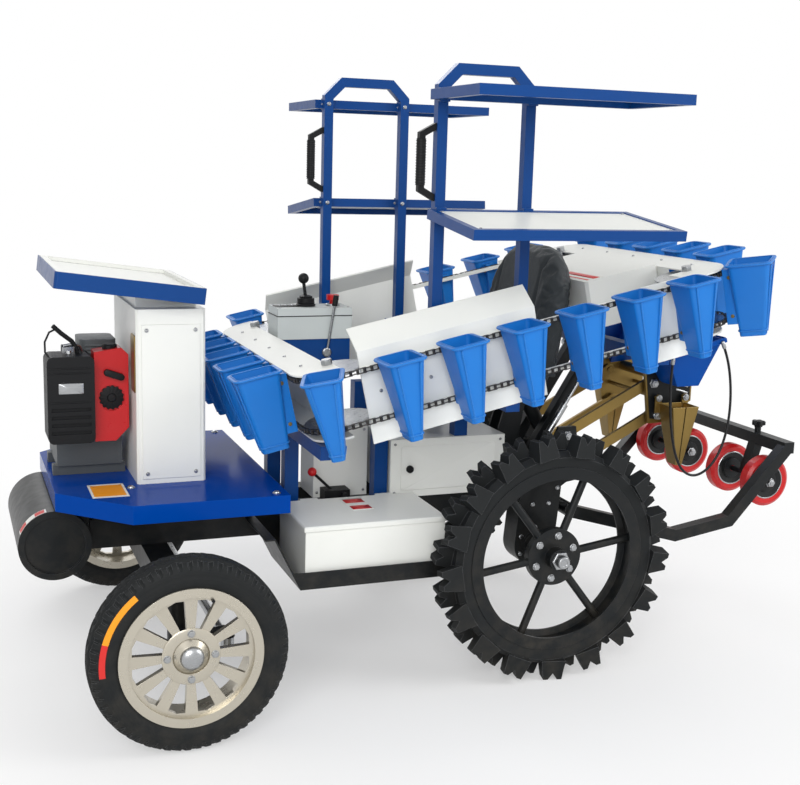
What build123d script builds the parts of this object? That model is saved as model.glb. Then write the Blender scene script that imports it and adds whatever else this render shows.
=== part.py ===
from build123d import *
import os
from math import atan2, cos, degrees, hypot, pi, radians, sin

# A self-propelled two-row vegetable transplanter, in millimetres.
# X points forward, Y to the machine's left, Z up. All pieces are drawn with
# the rear axle at X = 0 and moved at export, so that X = 0 is the middle.

# Clearances
RUN = 0.05          # radial play of a pin in its bore
GAP = 0.3           # seat of a piece that is bolted on
OPEN_PIN = 0.5      # radial play where a closed linkage is opened

# Wheels
WHEELBASE = 1030
FRONT_R = 240
FRONT_W = 95
FRONT_Y = 600
BEAD_R = 160
RIM_R = 172
RIM_SPOKES = 12
REAR_R = 345
REAR_W = 110
REAR_Y = 475
FELLOE_IN = 225
FELLOE_OUT = 258
CARCASS_R = 300
REAR_SPOKES = 6
REAR_LUGS = 34
LUG_SKEW = 12
REAR_HUB_R = 80

# Chassis
RAIL_Y = 90
RAIL_W = 60
RAIL_Z0 = 360
RAIL_Z1 = 440
RAIL_FRONT = WHEELBASE + 170
CROSS_X0 = -80
CROSS_X1 = -20
CROSS_Z0 = 400
CROSS_Z1 = 460
CASE_Y0 = 290
CASE_Y1 = 365
AXLE_R = 17.5

# Front axle and steering
BEAM_Z0 = FRONT_R + 50
BEAM_H = RAIL_Z0 - BEAM_Z0
KING_Y = 480
KING_R = 16
KING_BOSS_R = 34
KING_Z0 = FRONT_R + 35
KING_Z1 = FRONT_R + 160
STUB_R = 14
ARM_LEN = 120
TIE_Z = FRONT_R - 35
TIE_R = 12

# Engine deck, column and tray
DECK_X0 = WHEELBASE - 303
DECK_X1 = WHEELBASE + 267
DECK_Y = 400
DECK_Z = 550
DECK_T = 4
DECK_SKIRT = 48
DECK_CHAMFER = 170
COLUMN_X0 = WHEELBASE - 125
COLUMN_X1 = WHEELBASE + 55
COLUMN_Y = 200
COLUMN_TOP = DECK_Z + 460
TRAY_X0 = COLUMN_X0 + 10
TRAY_X1 = COLUMN_X1 + 205
TRAY_Y = 260
TRAY_Z = COLUMN_TOP + 60
TRAY_H = 42
TRAY_TILT = 7
ENGINE_X = WHEELBASE + 64
DRUM_X = DECK_X1
DRUM_Z = DECK_Z - 145
DRUM_R = 92
DRUM_Y = 210

# Foot trays and toolbox
PAN_X0 = 262
PAN_X1 = DECK_X0 - 27
PAN_Y0 = 120
PAN_Y1 = 412
PAN_Z = 296
PAN_T = 4
BOX_X0 = PAN_X0 + 30
BOX_X1 = PAN_X1 - 15
BOX_Y0 = PAN_Y0 + 25
BOX_Y1 = PAN_Y1 - 14
BOX_Z1 = PAN_Z + 150
BOX_T = 3
LID_H = 14
LID_OVER = 4

# Cup conveyor: one loop in a plane that rises to the rear
INCLINE = 12.5
LOOP_X = 92
LOOP_Z = 985
LOOP_A = 640
LOOP_B = 470
LOOP_R = 95
CHAIN_GAP = 135
CHAIN_H = 14
CHAIN_W = 10
PLATE_T = 3
CHAIN_PINS = 104
CUPS = 25
CUP_PHASE = 66
CUP_TOP = 28
CUP_DEEP = 212
CUP_WALL = 3
SPROCKET_R = LOOP_R - CHAIN_W / 2 - 1
SHAFT_R = 13
PANEL_V = 452
PANEL_T = 5
PANEL_LOW = -200
PANEL_HIGH = 45
PANEL_REAR = -20
REAR_PANEL = 140
PANEL_IN = PANEL_V - PANEL_T / 2 - GAP
TABLE_U = -300
TABLE_V = 230
TABLE_N = 24
FLANGE_V = 400
FLANGE_N = 98

# Seedling racks
RACK_Y = 365
RACK_TUBE = 28
RACK_LOW = 840
RACK_TOP = 1650
RACK_SPAN = 250
SHELF_LONG = 590
SHELF_DEEP = 300
SHELF_H = 26
SHELF_WALL = 18
SHELF_LEAD = 36
SHELF_TILT = 7
SHELF_DROP = (0.11605, 0.48642)   # shelves below the hoop's top, as parts of its height

# Control box
CONTROL_X0 = 380
CONTROL_X1 = 612
CONTROL_Y0 = -275
CONTROL_Y1 = -165
CONTROL_Z0 = 868
CONTROL_Z1 = 962

# Seat
SEAT_X0 = -60
SEAT_X1 = 290
SEAT_Z = 785
SLIDE_Z = SEAT_Z - 35

# Planting unit
LIFT_X = -120
LIFT_Z = 430
LIFT_R = 20
FRAME_TUBE = 35
FRAME_Y = 350
TOOL_X = -855
TOOL_Z = 575
PRESS_X = -822
PRESS_Z = 460
PRESS_R = 78
PRESS_W = 44
ROW_Y = 210
PAIR_HALF = 90
PRESS_PIN = 8
PLATE_Y = 140
PLATE_W = 12
LINK_Y0 = 116
LINK_Y1 = 128
LINK_PIN = 8
P_UP = (-210, 600)
P_LOW = (-230, 500)
LINK = (-290, 150)
H_UP = (P_UP[0] + LINK[0], P_UP[1] + LINK[1])
H_LOW = (P_LOW[0] + LINK[0], P_LOW[1] + LINK[1])
BILL_X = -560
BILL_TOP = 690
BILL_TIP = 505
BILL_PIN_X = 48
BILL_PIN_Z = 706
BILL_PIN_R = 6
HOPPER_X0 = -650
HOPPER_X1 = -455
HOPPER_Y = 282
HOPPER_Z = 882
HOPPER_T = 4
HOPPER_TILT = 14
SPOUT_Z = 756
RIM_OVER = 7
CABLE_R = 4

# Lift cylinder, from the chassis tower to the planting frame
CYL_TOP = (-100, 750)
CYL_EYE = (-215, 560)
CROSS_ROD = (-180, 540)
YOKE_REACH = 45
YOKE_T = 12
YOKE_END = 16

# Overall length, from the belt guard's front to the press wheels' rear
FRONT_X = DRUM_X + DRUM_R
REAR_X = PRESS_X - PRESS_R
MIDDLE_X = (FRONT_X + REAR_X) / 2

nodes = {}


def block(x0, x1, y0, y1, z0, z1):
    middle = Pos((x0 + x1) / 2, (y0 + y1) / 2, (z0 + z1) / 2)
    return middle * Box(x1 - x0, y1 - y0, z1 - z0)


def prism_y(points, y0, y1):
    # a polygon of (x, z) points, from y0 to y1
    plane = Plane(origin=(0, y0, 0), x_dir=(1, 0, 0), z_dir=(0, -1, 0))
    face = plane * make_face(Polyline(*points, close=True))
    return extrude(face, amount=y1 - y0, dir=(0, 1, 0))


def prism_z(points, z0, z1):
    face = Pos(0, 0, z0) * make_face(Polyline(*points, close=True))
    return extrude(face, amount=z1 - z0, dir=(0, 0, 1))


def rod(start, end, radius):
    way = Vector(*end) - Vector(*start)
    plane = Plane(origin=start, z_dir=way)
    return extrude(plane * Circle(radius), amount=way.length, dir=way)


def rod_y(x, z, y0, y1, radius):
    return rod((x, y0, z), (x, y1, z), radius)


def rod_z(x, y, z0, z1, radius):
    return rod((x, y, z0), (x, y, z1), radius)


def ribbon(points, half):
    # outline of a strip of one width along a path, with mitred corners
    left = []
    right = []
    for i, (px, pz) in enumerate(points):
        ax, az = points[max(i - 1, 0)]
        bx, bz = points[min(i + 1, len(points) - 1)]
        first = atan2(pz - az, px - ax) if i else atan2(bz - pz, bx - px)
        last = atan2(bz - pz, bx - px) if i < len(points) - 1 else first
        turn = (last - first + pi) % (2 * pi) - pi
        mid = first + turn / 2
        reach = half / cos(turn / 2)
        left.append((px - reach * sin(mid), pz + reach * cos(mid)))
        right.append((px + reach * sin(mid), pz - reach * cos(mid)))
    return left + right[::-1]


def mirrored(shape):
    return mirror(shape, about=Plane.XZ)


def both(shape):
    return shape + mirrored(shape)


def group(shapes):
    # separate solids in one node
    return Compound([solid for shape in shapes for solid in shape.solids()])


def turned_y(points):
    # a closed profile of (radius, y) points, turned about the Y axis
    return revolve(make_face(Polyline(*points, close=True)), Axis.Y)


def keep(name, shape):
    nodes[name] = Pos(-MIDDLE_X, 0, 0) * shape


# Front wheels: a turf tyre on an alloy rim with tapered windows
def front_tyre():
    foot = BEAD_R
    half = FRONT_W / 2
    wide = half - 8
    lip = RIM_R + 1
    crown = FRONT_R - 16
    edges = [
        Line((foot, -wide), (lip, -wide)),
        ThreePointArc((lip, -wide), (lip + 26, -half), (crown, -half + 5)),
        ThreePointArc((crown, -half + 5), (FRONT_R, 0), (crown, half - 5)),
        ThreePointArc((crown, half - 5), (lip + 26, half), (lip, wide)),
        Line((lip, wide), (foot, wide)),
        Line((foot, wide), (foot, -wide)),
    ]
    return revolve(make_face(edges), Axis.Y)


def front_rim():
    seat = BEAD_R - GAP
    bed = FRONT_W / 2 - 8 + GAP
    lip = bed + 5
    barrel = turned_y([(150, -lip), (RIM_R, -lip), (RIM_R, -bed), (seat, -bed),
                       (seat, bed), (RIM_R, bed), (RIM_R, lip), (150, lip)])
    disc = turned_y([(0.01, 4), (151, 18), (151, 32), (44, 26), (30, 40), (0.01, 40)])
    hub = rod_y(0, 0, -62, 40, 30)
    window = extrude(make_face(Polyline((58, -6), (138, -21), (143, 0), (138, 21), (58, 6),
                                        (52, 0), close=True)), amount=60, both=True)
    window = Rot(90, 0, 0) * window
    wheel = barrel + disc + hub
    for i in range(RIM_SPOKES):
        wheel -= Rot(0, 360 / RIM_SPOKES * (i + 0.5), 0) * window
    return wheel - rod_y(0, 0, -80, 32, STUB_R + RUN)


wheel_at = Pos(WHEELBASE, FRONT_Y, FRONT_R)
tyre = wheel_at * front_tyre()
rim = wheel_at * front_rim()
keep("front_tyre_left", tyre)
keep("front_tyre_right", mirrored(tyre))
keep("front_rim_left", rim)
keep("front_rim_right", mirrored(rim))


# Rear wheels: a rubber ring with slanted paddle lugs on a spoked steel wheel
def rear_tyre():
    half = REAR_W / 2
    inner = FELLOE_OUT + GAP
    ring = turned_y([(inner, -34), (CARCASS_R - 14, -38), (CARCASS_R, -22),
                     (CARCASS_R, 22), (CARCASS_R - 14, 38), (inner, 34)])
    base = CARCASS_R - 12
    tip_w = 52
    foot = Plane((0, 0, base)) * Rectangle(68, half - 4)
    tip = Plane((0, 0, (REAR_R**2 - tip_w**2 / 4)**0.5)) * Rectangle(tip_w, half - 16)
    lug = loft([foot, tip])
    notch = prism_y([(-15, REAR_R + 2), (0, REAR_R - 20), (15, REAR_R + 2)], -half, half)
    lug -= notch
    for i in range(REAR_LUGS):
        side = 1 if i % 2 else -1
        lean = Pos(0, side * (half / 2 - 3), 0) * Rot(0, 0, side * LUG_SKEW) * lug
        ring += Rot(0, 360 / REAR_LUGS * i, 0) * lean
    return ring - rod_y(0, 0, -REAR_W, REAR_W, inner)


def rear_wheel():
    felloe = turned_y([(FELLOE_IN, -36), (FELLOE_OUT, -36), (FELLOE_OUT, 36), (FELLOE_IN, 36),
                       (FELLOE_IN, 30), (FELLOE_IN + 16, 24), (FELLOE_IN + 16, -24), (FELLOE_IN, -30)])
    wheel = felloe + rod_y(0, 0, -12, 12, REAR_HUB_R) + rod_y(0, 0, -60, 44, 30)
    for i in range(REAR_SPOKES):
        spoke = rod((20, 0, 0), (FELLOE_IN + 22, 0, 0), 11)
        wheel += Rot(0, 360 / REAR_SPOKES * i + 8, 0) * spoke
    shaft = rod_y(0, 0, CASE_Y0 + 12 - REAR_Y, 62, AXLE_R)
    return wheel + shaft


wheel_at = Pos(0, REAR_Y, REAR_R)
tyre = wheel_at * rear_tyre()
wheel = wheel_at * rear_wheel()
keep("rear_tyre_left", tyre)
keep("rear_tyre_right", mirrored(tyre))
keep("rear_wheel_left", wheel)
keep("rear_wheel_right", mirrored(wheel))

# Chassis: two rails, a rear cross tube with pivot ears, a tower and struts
rail = block(CROSS_X1, RAIL_FRONT, RAIL_Y - RAIL_W / 2, RAIL_Y + RAIL_W / 2, RAIL_Z0, RAIL_Z1)
foot = block(-30, 30, RAIL_Y - 30, RAIL_Y + 30, RAIL_Z1, DECK_Z - DECK_T)
ear = prism_y([(CROSS_X1 - 10, CROSS_Z0), (LIFT_X - 28, LIFT_Z - 34), (LIFT_X - 36, LIFT_Z),
               (LIFT_X - 28, LIFT_Z + 30), (CROSS_X1 - 10, CROSS_Z1)], 186, 200)
tower = prism_y([(CROSS_X0 + 2, CROSS_Z1 - 10), (CYL_TOP[0] - 26, CYL_TOP[1] - 20),
                 (CYL_TOP[0] - 26, CYL_TOP[1] + 26), (CYL_TOP[0] + 20, CYL_TOP[1] + 26),
                 (CROSS_X1 - 4, CROSS_Z1 + 120), (CROSS_X1 - 4, CROSS_Z1 - 10)], 27, 35)
strut = prism_y(ribbon([(-60, CROSS_Z1 - 5), (-95, CROSS_Z1 + 20), (-330, 862)], 16), 45, 75)
strut -= block(-400, -250, 40, 80, 862, 900)
side = rail + Pos(DECK_X0 + 60, 0, 0) * foot + Pos(RAIL_FRONT - 40, 0, 0) * foot + ear + tower + strut
chassis = both(side)
chassis += block(CROSS_X0, CROSS_X1, -CASE_Y0, CASE_Y0, CROSS_Z0, CROSS_Z1)
for x in (240, PAN_X1, PAN_X1 + 160, RAIL_FRONT - 60):
    chassis += block(x, x + 40, -RAIL_Y, RAIL_Y, RAIL_Z0 + 10, RAIL_Z1 - 10)
chassis -= rod_y(LIFT_X, LIFT_Z, -260, 260, LIFT_R + RUN)
chassis += rod_y(*CYL_TOP, -30, 30, 9)
keep("chassis_frame", chassis)

# Final drives beside the rear wheels
case = prism_y(ribbon([(0, REAR_R), (-14, 505)], 62), CASE_Y0, CASE_Y1)
case += rod_y(0, REAR_R, CASE_Y0, CASE_Y1, 62)
case += rod_y(-14, 505, CASE_Y0, CASE_Y1, 62)
case += rod_y(0, REAR_R, CASE_Y1, CASE_Y1 + 12, 38)
case -= rod_y(0, REAR_R, CASE_Y0 + 10, CASE_Y1 + 20, AXLE_R + RUN)
keep("final_drives", both(case))

# Front axle beam, steering knuckles and tie rod
beam = block(WHEELBASE - 35, WHEELBASE + 35, -KING_Y, KING_Y, BEAM_Z0, BEAM_Z0 + BEAM_H)
for y in (KING_Y, -KING_Y):
    beam += rod_z(WHEELBASE, y, KING_Z0, KING_Z1, KING_BOSS_R)
for y in (KING_Y, -KING_Y):
    beam -= rod_z(WHEELBASE, y, KING_Z0 - 5, KING_Z1 + 5, KING_R + RUN)
keep("front_axle_beam", beam)

arm_x = WHEELBASE - ARM_LEN
knuckle = rod_z(WHEELBASE, KING_Y, FRONT_R - 26, KING_Z0 - GAP, 30)
knuckle += rod_z(WHEELBASE, KING_Y, FRONT_R, KING_Z1 + 20, KING_R)
knuckle += rod_z(WHEELBASE, KING_Y, KING_Z1 + GAP, KING_Z1 + 20, 28)
knuckle += rod_y(WHEELBASE, FRONT_R, KING_Y, FRONT_Y - 66, 24)
knuckle += rod_y(WHEELBASE, FRONT_R, KING_Y, FRONT_Y + 31, STUB_R)
knuckle += block(arm_x, WHEELBASE, KING_Y - 15, KING_Y + 15, FRONT_R - 14, FRONT_R + 2)
knuckle += rod_z(arm_x, KING_Y, FRONT_R - 14, FRONT_R + 2, 18)
knuckle += rod_z(arm_x, KING_Y, TIE_Z - 6, FRONT_R, 7)
keep("knuckle_left", knuckle)
keep("knuckle_right", mirrored(knuckle))

tie = rod_y(arm_x, TIE_Z, -KING_Y, KING_Y, TIE_R)
for y in (KING_Y, -KING_Y):
    tie += rod_z(arm_x, y, TIE_Z - 14, TIE_Z + 14, 17)
for y in (KING_Y, -KING_Y):
    tie -= rod_z(arm_x, y, TIE_Z - 20, TIE_Z + 20, 7 + RUN)
keep("tie_rod", tie)

# Transmission under the deck
gearbox = block(COLUMN_X0, COLUMN_X1 + 50, -58, 58, RAIL_Z0, DECK_Z - DECK_T)
gearbox -= both(block(COLUMN_X0 - 5, COLUMN_X1 + 55, 40, 60, DECK_Z - 80, DECK_Z))
keep("transmission", gearbox)

# Engine deck: a sheet with chamfered front corners and a skirt
outline = [(DECK_X0, -DECK_Y), (DECK_X1 - DECK_CHAMFER, -DECK_Y), (DECK_X1, -DECK_Y + DECK_CHAMFER),
           (DECK_X1, DECK_Y - DECK_CHAMFER), (DECK_X1 - DECK_CHAMFER, DECK_Y), (DECK_X0, DECK_Y)]
deck = prism_z(outline, DECK_Z - DECK_SKIRT, DECK_Z)
hollow = offset(make_face(Polyline(*outline, close=True)), amount=-DECK_T, kind=Kind.INTERSECTION)
deck -= Pos(0, 0, DECK_Z - DECK_SKIRT) * extrude(hollow, amount=DECK_SKIRT - DECK_T, dir=(0, 0, 1))
keep("engine_deck", deck)

# Engine: crankcase on two rails, finned head, fan shroud and air cleaner
crank = both(block(1, 191, 60, 90, 0, 28))
crank = Pos(0, -40, 0) * crank
crank += block(11, 181, -150, 66, 28, 170)
crank += rod_y(96, 118, -178, -150, 24)
head = block(26, 146, -120, 40, 170, 280)
for z in (185, 205, 225, 245, 265):
    for y0, y1 in ((-125, -110), (30, 45)):
        head -= block(16, 156, y0, y1, z, z + 9)
engine_at = Pos(ENGINE_X, 0, DECK_Z)
keep("engine_block", engine_at * (crank + head))

shroud = prism_y([(0, 140), (34, 105), (88, 105), (88, 342), (18, 352), (0, 334)], 66, 128)
keep("engine_shroud", engine_at * (shroud - rod_y(44, 220, 122, 140, 34)))

cleaner = block(92, 210, 66, 172, 112, 338)
cleaner = fillet(cleaner.edges().filter_by(Axis.Y), 16)
for z in (136, 156, 176, 196):
    cleaner -= block(102, 200, 166, 180, z, z + 9)
keep("engine_air_cleaner", engine_at * cleaner)

# Belt guard: a closed drum under the deck's front edge
guard = rod_y(DRUM_X, DRUM_Z, -DRUM_Y, DRUM_Y, DRUM_R)
guard += block(DRUM_X - 90, DRUM_X - 10, -DRUM_Y + 40, DRUM_Y - 40, DRUM_Z, DECK_Z - DECK_T)
guard -= rod_y(DRUM_X, DRUM_Z, DRUM_Y - 8, DRUM_Y + 8, DRUM_R - 16)
keep("belt_guard", guard)

# Column and front tray
column = block(COLUMN_X0, COLUMN_X1, -COLUMN_Y, COLUMN_Y, DECK_Z, COLUMN_TOP)
column = chamfer(column.edges().filter_by(Axis.Z), 6)
column += both(block(COLUMN_X0 + 14, COLUMN_X1 - 14, COLUMN_Y, COLUMN_Y + 3, DECK_Z + 14, COLUMN_TOP - 40))

tray_at = Pos((TRAY_X0 + TRAY_X1) / 2, 0, TRAY_Z) * Rot(0, -TRAY_TILT, 0)
tray_l = TRAY_X1 - TRAY_X0
tray = Box(tray_l, 2 * TRAY_Y, TRAY_H)
tray -= Pos(0, 0, 8) * Box(tray_l - 44, 2 * TRAY_Y - 44, TRAY_H)
tray = fillet(tray.edges().filter_by(Axis.Z).group_by(Axis.X)[-1], 10)
sheet = Pos(0, 0, -TRAY_H / 2 + 8 + 12) * Box(tray_l - 44, 2 * TRAY_Y - 44, 24)
keep("tray_frame", tray_at * tray)
keep("tray_sheet", tray_at * sheet)

# Pedestal between the column and the tilted tray
slope = sin(radians(TRAY_TILT)) / cos(radians(TRAY_TILT))
under = TRAY_Z - TRAY_H / 2 / cos(radians(TRAY_TILT))
tray_mid = (TRAY_X0 + TRAY_X1) / 2
low_x = COLUMN_X0 + 15
high_x = COLUMN_X1 - 7
pedestal = prism_y([(low_x, COLUMN_TOP), (high_x, COLUMN_TOP),
                    (high_x, under + (high_x - tray_mid) * slope),
                    (low_x, under + (low_x - tray_mid) * slope)], -150, 150)
keep("column", column + pedestal)

# Foot trays along both sides, turned up at the front
step = ribbon([(PAN_X0, PAN_Z + 44), (PAN_X0, PAN_Z), (PAN_X1, PAN_Z), (PAN_X1 + 70, PAN_Z + 140),
               (PAN_X1 + 96, PAN_Z + 140)], PAN_T / 2)
pan = prism_y(step, PAN_Y0, PAN_Y1)
pan += prism_y([(PAN_X0, PAN_Z), (PAN_X1, PAN_Z), (PAN_X1 + 22, PAN_Z + 44), (PAN_X0, PAN_Z + 44)],
               PAN_Y1 - PAN_T, PAN_Y1)
pan += prism_y([(PAN_X0, PAN_Z), (PAN_X1, PAN_Z), (PAN_X1 + 70, PAN_Z + 140), (PAN_X0, PAN_Z + 140)],
               PAN_Y0, PAN_Y0 + PAN_T)
keep("foot_trays", both(pan))

# Toolbox in the left tray, with a hinged lid
box = block(BOX_X0, BOX_X1, BOX_Y0, BOX_Y1, PAN_Z + PAN_T / 2, BOX_Z1)
box -= block(BOX_X0 + BOX_T, BOX_X1 - BOX_T, BOX_Y0 + BOX_T, BOX_Y1 - BOX_T, PAN_Z + 5, BOX_Z1 + 5)
box += rod((BOX_X0 + 20, BOX_Y0 - 4, BOX_Z1 + 7), (BOX_X1 - 20, BOX_Y0 - 4, BOX_Z1 + 7), 3)
for x in (BOX_X0 + 20, BOX_X1 - 44):
    box += block(x, x + 24, BOX_Y0 - 7, BOX_Y0, BOX_Z1 - 26, BOX_Z1 + 7)
keep("toolbox", box)

lid = block(BOX_X0 - LID_OVER, BOX_X1 + LID_OVER, BOX_Y0 + 1, BOX_Y1 + LID_OVER, BOX_Z1 + GAP, BOX_Z1 + LID_H)
lid = chamfer(lid.edges().group_by(Axis.Z)[-1], 3)
for x in (BOX_X0 + 60, BOX_X1 - 110):
    lid += block(x, x + 50, BOX_Y0 - 10, BOX_Y0 + 4, BOX_Z1 + GAP, BOX_Z1 + LID_H)
hinge = rod((BOX_X0, BOX_Y0 - 4, BOX_Z1 + 7), (BOX_X1, BOX_Y0 - 4, BOX_Z1 + 7), 3 + RUN)
keep("toolbox_lid", lid - hinge)

# Cabinets on the rails
front_cabinet = block(402, 565, -64, 64, RAIL_Z1, 650)
rear_cabinet = block(-10, 352, -125, 125, RAIL_Z1, 612)
keep("cabinets", group([front_cabinet, rear_cabinet]))

valve = block(470, 545, 66, 116, RAIL_Z1, 472)
valve += rod_y(490, 458, 116, 134, 9)
valve += rod((520, 92, 470), (572, 92, 520), 4)
keep("valve_block", valve)
knob = Pos(577, 92, 525) * Sphere(13) - rod((520, 92, 470), (573, 92, 521), 4 + GAP)

# Seat frame and conveyor stand, in square tube
stand = both(block(357, 397, 75, 115, RAIL_Z1, SLIDE_Z)) + both(block(109, 149, 75, 115, 612, SLIDE_Z))
stand += both(block(109, 397, 75, 115, SLIDE_Z - 30, SLIDE_Z))
stand += block(109, 149, -PANEL_IN, PANEL_IN, SLIDE_Z, SEAT_Z)
stand += both(block(109, 149, 427, PANEL_IN, SLIDE_Z, RACK_LOW - 4))
stand += both(block(624, 664, 75, 115, RAIL_Z1, 668))
stand += block(624, 664, -PANEL_IN, PANEL_IN, 648, 684.5)
stand += block(-350, -310, -PANEL_IN, PANEL_IN, 862, 898)
stand += both(block(-350, -310, 427, PANEL_IN, 862, 980))
stand += block(CONTROL_X0 + 4, CONTROL_X1 - 4, CONTROL_Y0 + 4, CONTROL_Y1 - 4, 800, CONTROL_Z0)
stand += block(430, 470, -PANEL_IN, CONTROL_Y0 + 8, 800, 838)
keep("conveyor_stand", stand)

# Conveyor, drawn in its own plane: u forward, v left, n up
down = radians(INCLINE)
loop_plane = Plane(origin=(LOOP_X, 0, LOOP_Z), x_dir=(cos(down), 0, -sin(down)), z_dir=(sin(down), 0, cos(down)))
loop_at = Location(loop_plane)


def loop_face(grow):
    return RectangleRounded(2 * (LOOP_A + grow), 2 * (LOOP_B + grow), max(LOOP_R + grow, 4))


def loop_ring(outer, inner, n0, n1):
    face = loop_face(outer) - loop_face(inner)
    return Pos(0, 0, n0) * extrude(face, amount=n1 - n0, dir=(0, 0, 1))


def loop_point(s):
    # position and outward way at length s along the chain, from the left side's middle, to the rear
    a = LOOP_A - LOOP_R
    b = LOOP_B - LOOP_R
    bend = pi / 2 * LOOP_R
    runs = ((a, 90, (-a, b)), (2 * b, 180, (-a, -b)), (2 * a, 270, (a, -b)), (2 * b, 0, (a, b)), (a, 90, None))
    for length, way, corner in runs:
        out = (cos(radians(way)), sin(radians(way)))
        along = (-out[1], out[0])
        if s <= length or corner is None:
            end = corner if corner else (0, b)
            back = length - s
            return (end[0] + LOOP_R * out[0] - back * along[0],
                    end[1] + LOOP_R * out[1] - back * along[1], way)
        s -= length
        if s <= bend:
            turn = way + degrees(s / LOOP_R)
            return (corner[0] + LOOP_R * cos(radians(turn)), corner[1] + LOOP_R * sin(radians(turn)), turn)
        s -= bend


LOOP_LENGTH = 4 * (LOOP_A + LOOP_B - 2 * LOOP_R) + 2 * pi * LOOP_R


def on_loop(shape, s):
    u, v, way = loop_point(s % LOOP_LENGTH)
    return Pos(u, v, 0) * Rot(0, 0, way - 90) * shape


# Two roller chains: an upper and a lower plate strip with pins between
half_w = CHAIN_W / 2
half_h = CHAIN_H / 2
strand = loop_ring(half_w, -half_w, half_h - PLATE_T, half_h)
strand += loop_ring(half_w, -half_w, -half_h, -half_h + PLATE_T)
pins = []
for i in range(CHAIN_PINS):
    pin = Pos(0, 0, 0) * Box(8, CHAIN_W - 3, CHAIN_H - 2 * PLATE_T)
    pins.append(on_loop(pin, (i + 0.5) * LOOP_LENGTH / CHAIN_PINS))
strand = strand.fuse(*pins)
chains = [strand, Pos(0, 0, -CHAIN_GAP) * strand]
keep("cup_chains", loop_at * group(chains))

# Corner sprockets on shafts
spindle = Cylinder(SHAFT_R, CHAIN_GAP + 60)
spindle = Pos(0, 0, -CHAIN_GAP / 2) * spindle
for n in (0, -CHAIN_GAP):
    spindle += Pos(0, 0, n) * Cylinder(SPROCKET_R, 6)
corners = []
for u in (LOOP_A - LOOP_R, LOOP_R - LOOP_A):
    for v in (LOOP_B - LOOP_R, LOOP_R - LOOP_B):
        corners.append(Pos(u, v, 0) * spindle)
keep("corner_sprockets", loop_at * group(corners))


# Seedling cups: tapered, open at the top, hung on both chains
def cup():
    near = CHAIN_W / 2 + GAP
    low = CUP_TOP - CUP_DEEP
    mouth = Plane((0, near + 78, CUP_TOP)) * RectangleRounded(92, 116, 14)
    tip = Plane((0, near + 66, low)) * RectangleRounded(34, 72, 10)
    shell = loft([tip, mouth])
    inner_mouth = Plane((0, near + 78, CUP_TOP + 1)) * RectangleRounded(86, 110, 11)
    inner_tip = Plane((0, near + 66, low + CUP_WALL)) * RectangleRounded(28, 66, 7)
    inner = loft([inner_tip, inner_mouth])
    lip = Plane((0, near + 78, CUP_TOP - 6)) * RectangleRounded(102, 126, 18)
    shell += extrude(lip, amount=6, dir=(0, 0, 1))
    hanger = Pos(0, near + 18, -CHAIN_GAP / 2) * Box(30, 36, CHAIN_GAP + 24)
    return shell + hanger - inner


one_cup = cup()
pitch = LOOP_LENGTH / CUPS
cups = [on_loop(one_cup, i * pitch - CUP_PHASE) for i in range(CUPS)]
keep("seedling_cups", loop_at * group(cups))


# White side panels behind the chains, with a flange folded inward
def side_panel():
    u1 = LOOP_A - LOOP_R - 60
    outer = [(PANEL_V, PANEL_LOW), (PANEL_V, PANEL_HIGH), (FLANGE_V, FLANGE_N)]
    strip = ribbon(outer, PANEL_T / 2)
    plane = Plane(origin=(PANEL_REAR, 0, 0), x_dir=(0, 1, 0), z_dir=(1, 0, 0))
    sheet = extrude(plane * make_face(Polyline(*strip, close=True)), amount=u1 - PANEL_REAR, dir=(1, 0, 0))
    inside = PANEL_V - PANEL_T / 2
    sheet += block(-u1, REAR_PANEL - u1, inside, inside + PANEL_T, PANEL_LOW, 20)
    guide_out = LOOP_B - CHAIN_W / 2 - GAP
    for n in (0, -CHAIN_GAP):
        sheet += block(-u1, u1, inside, guide_out, n - 5, n + 5)
    return sheet


panel = side_panel()
keep("side_panels", loop_at * both(panel))

# White covers over the front and rear runs, carrying the corner shafts
cover = loop_ring(half_w + 2, -96, 12, 16)
deck_low = loop_ring(-16, -96, -CHAIN_GAP - 34, -CHAIN_GAP - 28)
front_cut = block(LOOP_A - LOOP_R - 12, LOOP_A + 60, -LOOP_B - 60, LOOP_B + 60, -300, 100)
rear_cut = block(-LOOP_A - 60, -(LOOP_A - LOOP_R) + 60, -LOOP_B - 60, LOOP_B + 60, -300, 100)
skin_v = LOOP_B - LOOP_R - SPROCKET_R - 8
skin = block(LOOP_A - 96, LOOP_A - 92, -skin_v, skin_v, -CHAIN_GAP - 34, 16)
skin_rear = block(-LOOP_A + 92, -LOOP_A + 96, -skin_v, skin_v, -CHAIN_GAP - 34, 16)
holes = []
for u in (LOOP_A - LOOP_R, LOOP_R - LOOP_A):
    for v in (LOOP_B - LOOP_R, LOOP_R - LOOP_B):
        holes.append(Pos(u, v, -60) * Cylinder(SHAFT_R + GAP, 400))
front_cover = ((cover + deck_low) & front_cut) + skin
rear_cover = ((cover + deck_low) & rear_cut) + skin_rear
for hole in holes:
    front_cover -= hole
    rear_cover -= hole
keep("end_covers", loop_at * group([front_cover, rear_cover]))

# Cover table behind the seat
table = block(-LOOP_A + 97, TABLE_U, -TABLE_V, TABLE_V, -120, TABLE_N)
table = chamfer(table.edges().filter_by(Axis.Z), 8)
keep("rear_table", loop_at * table)

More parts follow.
